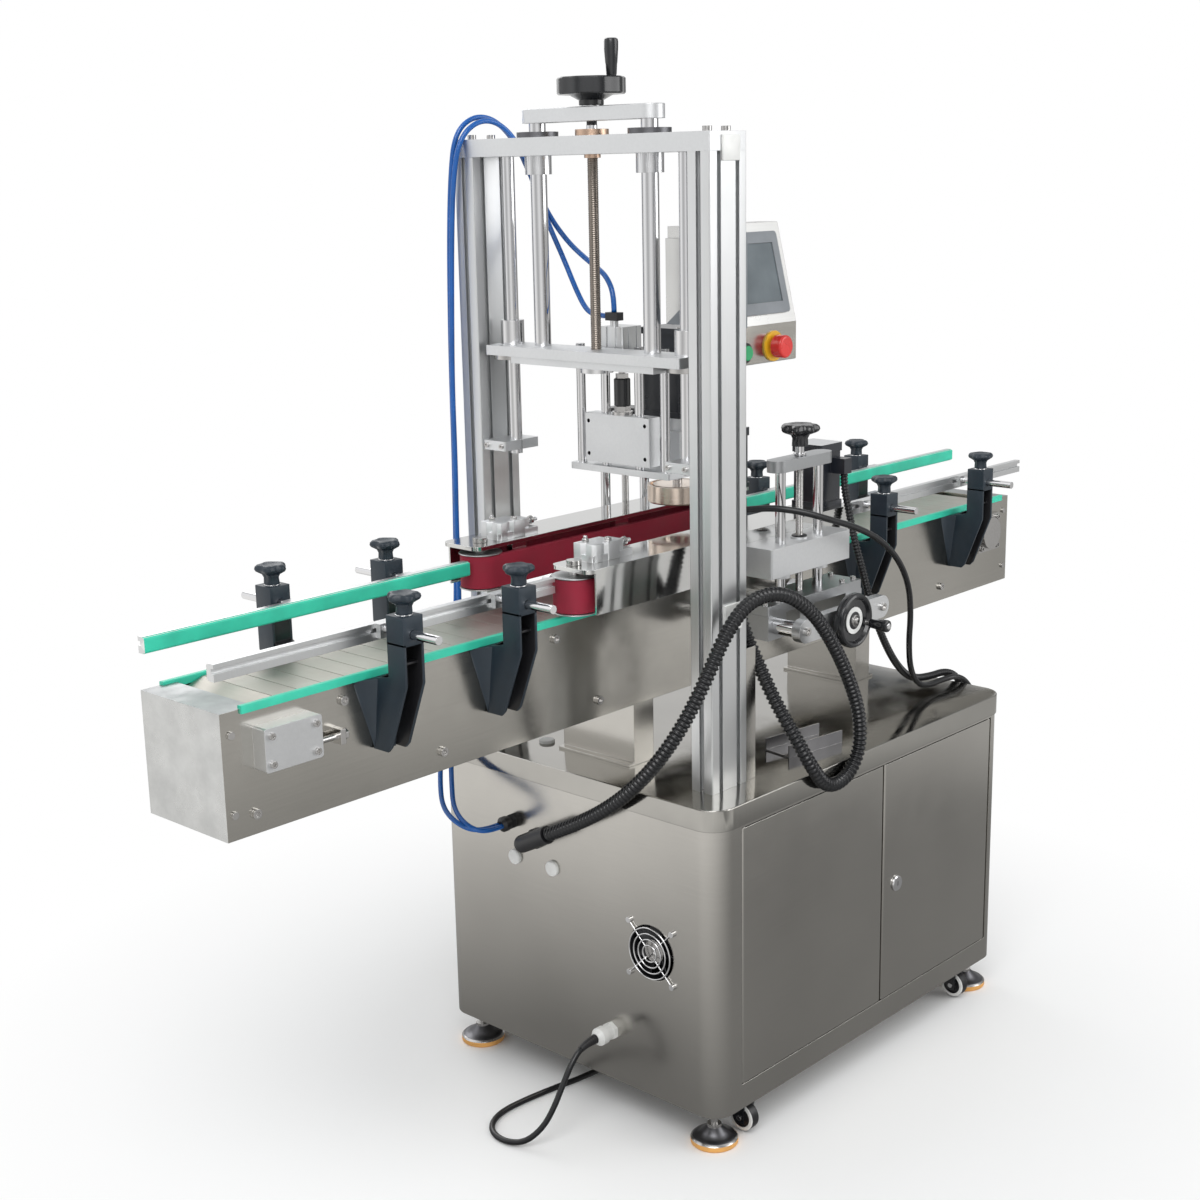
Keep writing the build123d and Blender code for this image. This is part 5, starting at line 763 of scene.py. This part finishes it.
for side, sign, lift in SIDES:
    out = "+Y" if sign > 0 else "-Y"
    post = (ADJUST_X, sign * POST_Y, 0)
    gather(f"height_adjuster_{side}", f"height_screw_{side}", "screw_steel", [
        ("steel", threaded(6, 773.4, 976, 2, 0.6, 16, 4), post),
        ("chrome", turned([(5.6, 976), (5.6, 995.4), (9.5, 995.4), (10, 996), (10, 999),
                           (7, 999.5), (7, 1010.2)], 32), post),
        ("enamel", star_knob(31.2, 12.5, 34, 7), (*post[:2], 1010.0)),
    ], replaced=(f"height_screw_{side}",))
    gather(f"cross_feed_{side}", f"cross_screw_{side}", "screw_steel",
           [(finish, shape, (x, sign * y, z), out) for finish, shape, (x, y, z) in CROSS_PARTS],
           replaced=(f"cross_screw_{side}",))


# Moulded rail brackets with their knobs

BRACKET_X = (-685.0, -482.0, 385.0, 693.0)
HEAD_HALF, HEAD_NEAR, HEAD_FAR, HEAD_LOW, HEAD_HIGH = 16.5, 119.0, 152.0, 850.0, 888.0
FLANGE = 3.4
ROD_Z = 864.0


def bracket_flange(start, thick=FLANGE, inset=0.0):
    """Side wall of the bracket: a flat outline of depth and height, a wall thickness along X. Thin
    and drawn in by inset, it is a dark sheet of painted shade inside a flange.
    """
    outline = np.array([(86, 704), (111, 704), (118, 711), (HEAD_FAR, 798),
                        (HEAD_FAR, HEAD_LOW + 3), (HEAD_NEAR, HEAD_LOW + 3), (HEAD_NEAR, 806),
                        (86, 799)], float)
    outline[1:5, 0] -= inset
    points, faces = lofted(*[np.c_[outline, np.full(len(outline), x)] for x in (0.0, thick)])
    return np.stack([points[:, 2] + start, points[:, 0], points[:, 1]], -1), faces


def bracket_parts():
    """Bracket for the far side at X zero, its foot on the side plate: a foot that narrows
    downwards, a web, two flanges, a rib and the bored head. The floor, web and rib are black and
    two thin black sheets line the flanges' inner faces: painted shade inside the channel."""
    top = [(-46.5, 83.0), (46.5, 83.0), (31, 87.5), (HEAD_HALF, 97), (-HEAD_HALF, 97), (-31, 87.5)]
    low = [(-15, 83.0), (15, 83.0), (13.5, 87.5), (11.5, 94), (-11.5, 94), (-13.5, 87.5)]
    foot = lofted(*[[(x, y, z) for x, y in outline] for outline, z in ((low, 703.0), (top, 799.6))])
    inner = HEAD_HALF - FLANGE / 2
    web = slab([(-inner, HEAD_NEAR + 0.2), (inner, HEAD_NEAR + 0.2), (inner, HEAD_NEAR + 3.5),
                (-inner, HEAD_NEAR + 3.5)], 790.0, HEAD_LOW + 2)
    floor = lofted(*[[(-inner, a, z), (inner, a, z), (inner, b, z), (-inner, b, z)]
                     for a, b, z in ((93, 97, 760.0), (95, 99, 800.0),
                                     (HEAD_NEAR, HEAD_NEAR + 3, 812.0))])
    rib = slab([(-inner, HEAD_NEAR + 1), (inner, HEAD_NEAR + 1), (inner, HEAD_FAR - 9),
                (-inner, HEAD_FAR - 9)], 823.5, 826.5)
    head = bored_block(HEAD_HALF, HEAD_LOW - ROD_Z, HEAD_HIGH - ROD_Z, 6.4, HEAD_FAR - HEAD_NEAR)
    head = (head[0] * (1, -1, 1), [face[::-1] for face in head[1]])
    middle = (0, (HEAD_NEAR + HEAD_FAR) / 2, HEAD_HIGH)
    knob = (*middle[:2], HEAD_HIGH + 1.0)
    # The black floor, web, rib and thin sheets inside the flanges are painted shade in the channel.
    return [("bracket", foot), ("black", floor), ("black", web), ("black", rib),
            ("bracket", bracket_flange(-HEAD_HALF)),
            ("bracket", bracket_flange(HEAD_HALF - FLANGE)),
            ("black", bracket_flange(HEAD_HALF - FLANGE - 0.4, 0.6, 1.2)),
            ("black", bracket_flange(FLANGE - HEAD_HALF - 0.2, 0.6, 1.2)),
            ("bracket", put(head, (0, HEAD_NEAR, ROD_Z), "+Y")),
            ("chrome", put(turned([(11.5, 0), (11.5, 1.1)], 32), middle)),
            ("bracket", put(star_knob(23, 10.8, 28, 5, 60), knob))]


gather("column_end_cover", "frame", "gland_white", [
    ("white", slab([(-189, 0), (-152, 0), (-152, 3.5), (-189, 3.5)], 1436.0, 1470.0),
     (0, -253.6, 0))], bevel=1.0)
gather("rail_clamps", "frame", "bracket_plastic",
       [(finish, shape, (x, 0, 0), turn) for turn in ("half", "Z") for x in BRACKET_X
        for finish, shape in bracket_parts()], bevel=0.7, replaced=("rail_brackets",))


# Belt tension blocks, pulley rims and small mounts

def hex_head(radius, shoulder, high):
    """Hexagon head with a chamfered top."""
    return turned([(radius, 0), (radius, shoulder), (radius - 0.8, high)], 6)


IDLER_X, BELT_Y = -333.0, 96.0
TENSION_OUTLINE = [(-312, 20), (-312, 7), (-305, 1), (-312, -5), (-312, -15), (-307, -20),
                   (-295, -20), (-288, -13), (-281, -20), (-258, -20), (-258, 20)]
RIM_PROFILE = [(30.5, 0), (32.4, 0.6), (32.4, 2.0), (29.5, 3.0)]
for side, sign, lift in SIDES:
    top = 885.0 + lift
    middle = sign * BELT_Y
    gather(f"belt_tension_{side}", f"belt_unit_{side}", "carriage_aluminium", [
        ("satin", slab(TENSION_OUTLINE, top + 0.1, top + 26.0), (0, middle, 0)),
        ("steel", hex_head(5.4, 4.2, 5), (-299, middle + 9, top + 26.0)),
        ("chrome", turned([(3, 0), (3, 3.5), (2.4, 4)], 20), (-299, middle + 9, top + 31.0)),
        ("steel", hex_head(5.4, 4.2, 5), (-272, middle - 10, top + 26.0)),
        ("steel", hex_head(7.0, 5, 6), (-230, middle, top + 17.0), "+X"),
        ("black", turned([(12, 0), (12, 1.6), (11, 2.2), (7.5, 2.2)], 40),
         (ADJUST_X, sign * POST_Y, 869.0 + lift)),
    ], bevel=0.8)
    for place, low in (("upper", 868.5 + lift), ("lower", 816.2 + lift)):
        gather(f"pulley_rim_{place}_{side}", f"idler_pulley_{side}", "pulley_aluminium", [
            ("machined", turned(RIM_PROFILE, 64), (IDLER_X, middle, low))])


# Cords

def metres(*rows):
    """Points of a route, given in millimetres."""
    return [tuple(value / 1000 for value in row) for row in rows]


MAIN_CONDUIT = metres(
    (-302, 3, 445), (-302, -51.4, 473), (-302, -110, 508), (-300, -164, 550), (-290, -212, 604),
    (-272, -246, 664), (-248, -267, 728), (-212, -272, 786), (-160, -271, 824), (-98, -281, 830),
    (-42, -294, 796), (2, -304, 738), (38, -311, 672), (61, -316, 608), (58, -317.6, 552),
    (22, -317.8, 518), (-28, -317.8, 518), (-65, -317.6, 560), (-83, -297, 612), (-95, -272, 660),
    (-99.5, -246, 710), (-104, -220, 762), (-106, -200, 825), (-106, -190, 895),
    (-105, -182, 965), (-103, -170, 1030), (-100, -155, 1090), (-100, -155, 1142.8))
MOTOR_CONDUIT = metres(
    (256, -143.5, 939.7), (256, -144, 917), (256.5, -152.5, 884), (257.5, -162, 840),
    (258, -181, 784), (261, -198, 722), (283, -207, 664), (326, -205, 612), (384, -196, 574),
    (446, -191, 562), (500, -195, 562), (533, -201, 542), (541, -206, 500), (541, -206, 455.2))
SENSOR_CABLE = metres(
    (-96, -192.4, 936), (-58, -219, 940), (0, -243, 928), (66, -250, 906), (140, -250, 882),
    (212, -246, 850), (270, -242, 808), (308, -238, 758), (322, -234, 706), (322, -231, 655),
    (336, -226, 606), (372, -218, 570), (420, -210, 556), (468, -208, 556), (508, -215, 555),
    (534, -223, 532), (541, -229, 494), (541, -229, 455.2))
AIR_TUBES = (
    metres(
        (-297.2, 107.6, 431.8), (-324, 107.6, 431.8), (-346, 117, 437), (-351, 142, 448),
        (-340, 172, 462), (-318, 198, 484), (-297, 221, 518), (-277, 237, 562), (-257, 247, 614),
        (-243, 251, 680), (-236, 253, 760), (-235, 254, 875), (-232, 254, 990), (-234, 252, 1105),
        (-231, 250, 1220), (-229, 246, 1330), (-229, 238, 1415), (-223, 228, 1476),
        (-190, 220, 1504), (-152, 212, 1500), (-120, 203, 1466), (-108, 190, 1415),
        (-103, 164, 1350), (-104, 130, 1295), (-112, 98, 1250), (-125, 66, 1222), (-134, 38, 1215),
        (-134, 12.2, 1215)),
    metres(
        (-297.2, 116.8, 431.8), (-325, 116.8, 431.8), (-350, 126, 437), (-360, 152, 449),
        (-352, 184, 463), (-330, 212, 485), (-306, 235, 520), (-282, 249, 566), (-259, 257, 620),
        (-242, 262, 688), (-232, 264, 772), (-229, 263, 887), (-226, 263, 1000), (-227, 261, 1115),
        (-225, 260, 1230), (-223, 257, 1340), (-224, 248, 1425), (-221, 239, 1484),
        (-190, 232, 1510), (-150, 225, 1506), (-115, 215, 1470), (-98, 200, 1415),
        (-92, 172, 1360), (-94, 130, 1320), (-103, 86, 1297), (-115, 50, 1284), (-127, 20, 1272),
        (-134, 0, 1248), (-134, 0, 1221.2)),
)
MAINS_LEAD = metres(
    (-309.1, -94, 140.6), (-337, -94, 140.6), (-361, -94, 122), (-380, -93, 94), (-397, -90, 62),
    (-414, -82, 32), (-435, -63, 9), (-447, -32, 4.6), (-442, 0, 4.6), (-420, 24, 4.6),
    (-386, 35, 4.6), (-340, 33, 4.6), (-280, 24, 4.6), (-225, 13, 4.6), (-158.6, 10, 4.6))


def corrugated(name, path, radius, body, depth, around):
    """Corrugated conduit: along the path, with PITCH_POINTS a pitch, the radius falls by depth
    and rises again once per pitch, with rounded crests and narrower roots."""
    share = (np.arange(len(path)) % PITCH_POINTS) / PITCH_POINTS
    radii = radius - depth * (0.5 + 0.5 * np.cos(tau * share)) ** 1.5
    points, faces = tube_along(path, radii, around)
    piece = add_mesh(name, points, faces, "conduit", body, "conduit_black")
    return piece


def air_tube(name, route):
    """Air tube as a mesh along its route from the frame to the carriage."""
    path, length = evenly(line_of(name, route), 0.005)
    radii = np.full(len(path), AIR_RADIUS)
    piece = add_mesh(name, *tube_along(path, radii, 16), "blue", None, "air_blue")
    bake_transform(piece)
    return piece


def smooth_cord(name, route, radius, far_end, slot, **facts):
    """Round black cord on its route, riding on the frame."""
    data = spline(name, route)
    data.bevel_depth = radius
    data.bevel_resolution = 6
    data.use_fill_caps = True
    data.materials.append(FINISH["conduit"])
    piece = add_object(name, data)
    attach(piece, "frame")
    length = evenly(line_of(name + "_line", route), 0.004)[1]
    return piece


PITCH_POINTS = 6
MAIN_RADIUS, MAIN_PITCH, MAIN_GROOVE = 0.011, 0.0075, 0.0029
MOTOR_RADIUS, MOTOR_PITCH, MOTOR_GROOVE = 0.0065, 0.0055, 0.0016
MOTOR_CUT_Z = 0.69
SENSOR_RADIUS, AIR_RADIUS, MAINS_RADIUS = 0.005, 0.004, 0.0045

main_path = evenly(line_of("main_conduit", MAIN_CONDUIT), MAIN_PITCH / PITCH_POINTS)[0]
main_conduit = corrugated("main_conduit", main_path, MAIN_RADIUS, "frame", MAIN_GROOVE, 20)
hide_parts("machine_conduits")

# The motor conduit crosses two joints, so it is cut at a height between them.
motor_path = evenly(line_of("motor_conduit", MOTOR_CONDUIT), MOTOR_PITCH / PITCH_POINTS)[0]
cut = PITCH_POINTS * int(np.argmax(motor_path[::PITCH_POINTS, 2] < MOTOR_CUT_Z))
for name, path, bodies, ends in (
        ("motor_conduit_top", motor_path[:cut + 1], ("cross_slide_near", "belt_unit_near"),
         ((0.26, -0.2, 0.70), (0.26, -0.2, 0.88))),
        ("motor_conduit_tail", motor_path[cut:], ("frame", "cross_slide_near"),
         ((0.52, -0.2, 0.5), (0.29, -0.2, 0.5)))):
    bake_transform(corrugated(name, path, MOTOR_RADIUS, None, MOTOR_GROOVE, 16))
smooth_cord("sensor_cable", SENSOR_CABLE, SENSOR_RADIUS, "object", "conduit_black", lay="loose")
for number, route in enumerate(AIR_TUBES, 1):
    tube = air_tube(f"air_tube_{number}", route)
    if number == 1:
        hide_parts("air_tubes")

COIL_AT = (-0.120, 0.062)
COIL_TURNS, COIL_POINTS = 6, 12
COIL_INNER, COIL_OUTER, COIL_LOW, COIL_LAYER = 0.0475, 0.0565, 0.0046, 0.009


def coil_route():
    """Coil turns: circles at two radii in three layers, easing from one to the next."""
    polygon = 1 / cos(pi / COIL_POINTS)
    levels = [(COIL_OUTER, 0), (COIL_INNER, 0), (COIL_INNER, 1), (COIL_OUTER, 1), (COIL_OUTER, 2),
              (COIL_INNER, 2)]
    steps = np.arange(1, COIL_TURNS * COIL_POINTS + 1)
    turn, share = np.divmod(steps / COIL_POINTS, 1.0)
    turn = np.minimum(turn.astype(int), COIL_TURNS - 1)
    ease = np.clip(share / 0.3, 0, 1)
    ease = ease * ease * (3 - 2 * ease)
    now = np.array(levels)[turn]
    before = np.array([levels[0], *levels[:-1]])[turn]
    radius, level = (before + (now - before) * ease[:, None]).T
    angle = -pi / 2 + tau * steps / COIL_POINTS
    return [(COIL_AT[0] + r * polygon * cos(a), COIL_AT[1] + r * polygon * sin(a),
             COIL_LOW + COIL_LAYER * z) for r, z, a in zip(radius, level, angle)]


MAINS_ROUTE = [*MAINS_LEAD[:-1], *metres((-150, 6.5, 4.6)), *coil_route()[:-1],
               *metres((-112, 12.5, 22), (-96, 10.5, 19.5), (-76.5, 10, 18.2))]
mains_cord = smooth_cord("mains_cord", MAINS_ROUTE, MAINS_RADIUS, "plug", "mains_black",
                         lay="coiled", with_pieces=[NODES["mains_plug"]])
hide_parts("mains_cord_lead", "mains_cord_coil")


SLEEVE_RADIUS, SLEEVE_TAPER, SLEEVE_GROOVE = 7.6, 2.4, 0.5


def strain_relief():
    """Ribbed sleeve along the first part of the mains lead: the radius falls evenly along the
    path, and is less by the depth of a groove at two points of every four."""
    path = evenly(line_of("mains_start", MAINS_ROUTE), 0.0005)[0][1:66:2] * 1000
    share = np.linspace(0, 1, len(path))
    grooves = np.arange(len(path)) % 4 > 1
    radii = SLEEVE_RADIUS - SLEEVE_TAPER * share - SLEEVE_GROOVE * grooves
    return tube_along(path, radii, 28)


gather("mains_strain_relief", "frame", "mains_black", [("black", strain_relief())])


# Stage and light

# Directions are in radians from +X. A row of the floor's levels in reflections gives the
# distances from the object at which it starts and ends, and the level at each; the low levels near
# the object are a painted shadow.
BRIGHT_TURN, WALL_TURN = 2.6, 0.75
STUDIO_LEVEL, SIDE_SHARE, WALL_SHARE = 0.68, 0.19, 0.26
FLOOR_HALF = 14.0
WHITE_FROM, WHITE_TO = 0.5, 1.25
LEFT_SHADOW_LEVELS = (0.45, 1.6, 0.20, 1.10)
RIGHT_SHADOW_LEVELS = (1.5, 2.1, 0.21, 0.60)
STUDIO_FROM, STUDIO_TO = 2.0, 3.2
MIRRORED_SHARE = 0.9


def studio_level(t, x, y):
    """Level of the studio in reflections: brighter towards the left of the camera, with four
    bright walls and darker corners between them round about."""
    turn = t.math("ARCTAN2", y, x)
    side = t.math("COSINE", t.math("SUBTRACT", turn, BRIGHT_TURN))
    walls = t.math("COSINE", t.times(t.math("SUBTRACT", turn, WALL_TURN), 4.0))
    return side, t.plus(STUDIO_LEVEL, t.times(side, SIDE_SHARE), t.times(walls, WALL_SHARE))


def seen_directly(t, path):
    """1 for rays from the camera, also through glass, and 0 for all others."""
    return t.math("MAXIMUM", path["Is Camera Ray"], path["Is Transmission Ray"])


def make_floor():
    """Pale floor that keeps a soft shadow near the object and turns plain white further off. In
    reflections it glows instead, with a painted shadow: its level rises away from the object and
    towards the left of the camera."""
    mesh = bpy.data.meshes.new("floor")
    corners = [(x * FLOOR_HALF, y * FLOOR_HALF, 0) for x, y in ((-1, -1), (1, -1), (1, 1), (-1, 1))]
    mesh.from_pydata(corners, [], [(0, 1, 2, 3)])
    add_object("floor", mesh)
    material = bpy.data.materials.new("floor")
    t = emptied(material)
    plain = t.add("ShaderNodeBsdfDiffuse", Color=(0.94, 0.94, 0.935, 1))
    white = t.add("ShaderNodeEmission", Color=(1, 1, 1, 1), Strength=1.0)
    path = t.add("ShaderNodeLightPath").outputs
    point = t.object_point()
    parts = t.add("ShaderNodeSeparateXYZ", Vector=point).outputs
    away = t.vector_math("LENGTH", point)
    side, level = studio_level(t, parts["X"], parts["Y"])
    left = t.remap(side, -0.9, 0.9)
    right = t.math("SUBTRACT", 1.0, left)
    # The floor's level in reflections, kept low close to the object as a painted shadow.
    near = t.plus(t.times(left, t.remap(away, *LEFT_SHADOW_LEVELS)),
                  t.times(right, t.remap(away, *RIGHT_SHADOW_LEVELS)))
    beyond = t.remap(away, STUDIO_FROM, STUDIO_TO)
    level = t.plus(t.times(near, t.math("SUBTRACT", 1.0, beyond)), t.times(level, beyond))
    mirrored = t.add("ShaderNodeEmission", Color=(1, 0.99, 0.97, 1), Strength=level)
    far = t.times(seen_directly(t, path), t.remap(away, WHITE_FROM, WHITE_TO))
    shader = t.mix_shaders(far, plain.outputs["BSDF"], white.outputs["Emission"])
    shader = t.mix_shaders(t.times(path["Is Glossy Ray"], MIRRORED_SHARE), shader,
                           mirrored.outputs["Emission"])
    t.links.new(shader, t.add("ShaderNodeOutputMaterial").inputs["Surface"])
    mesh.materials.append(material)


def light_world():
    """White to the camera, an uneven grey studio in reflections, and an even level elsewhere."""
    world = bpy.data.worlds.new("studio")
    bpy.context.scene.world = world
    t = emptied(world)
    direction = t.add("ShaderNodeTexCoord").outputs["Generated"]
    parts = t.add("ShaderNodeSeparateXYZ", Vector=direction).outputs
    mirrored = studio_level(t, parts["X"], parts["Y"])[1]
    mirrored = t.times(mirrored, t.remap(parts["Z"], -0.2, 0.75, 0.9, 1.12))
    path = t.add("ShaderNodeLightPath").outputs
    plain, seen, glossy = (
        t.add("ShaderNodeBackground", Color=colour, Strength=strength).outputs["Background"]
        for colour, strength in (((0.97, 0.985, 1.0, 1), 0.62), ((1, 1, 1, 1), 1.0),
                                 ((1, 1, 1, 1), mirrored)))
    shader = t.mix_shaders(path["Is Glossy Ray"], plain, glossy)
    shader = t.mix_shaders(seen_directly(t, path), shader, seen)
    t.links.new(shader, t.add("ShaderNodeOutputWorld").inputs["Surface"])


MIDDLE = Vector((0.0, 0.0, 0.8))
LAMPS = {
    "key": ((-2.4, -1.6, 3.4), 2.2, 62),
    "fill": ((1.8, -3.0, 2.2), 2.4, 40),
    "back": ((0.5, 3.0, 2.8), 2.4, 36),
}


def area_light(name, at, size, power):
    """Square lamp that faces the middle of the object."""
    data = bpy.data.lights.new(name, "AREA")
    data.shape = "SQUARE"
    data.size = size
    data.energy = power
    lamp = add_object(name, data)
    lamp.location = at
    lamp.rotation_mode = "QUATERNION"
    lamp.rotation_quaternion = (MIDDLE - Vector(at)).to_track_quat("-Z", "Y")


make_floor()
light_world()
for name, row in LAMPS.items():
    area_light(name, *row)
bpy.context.scene.view_settings.view_transform = "Standard"
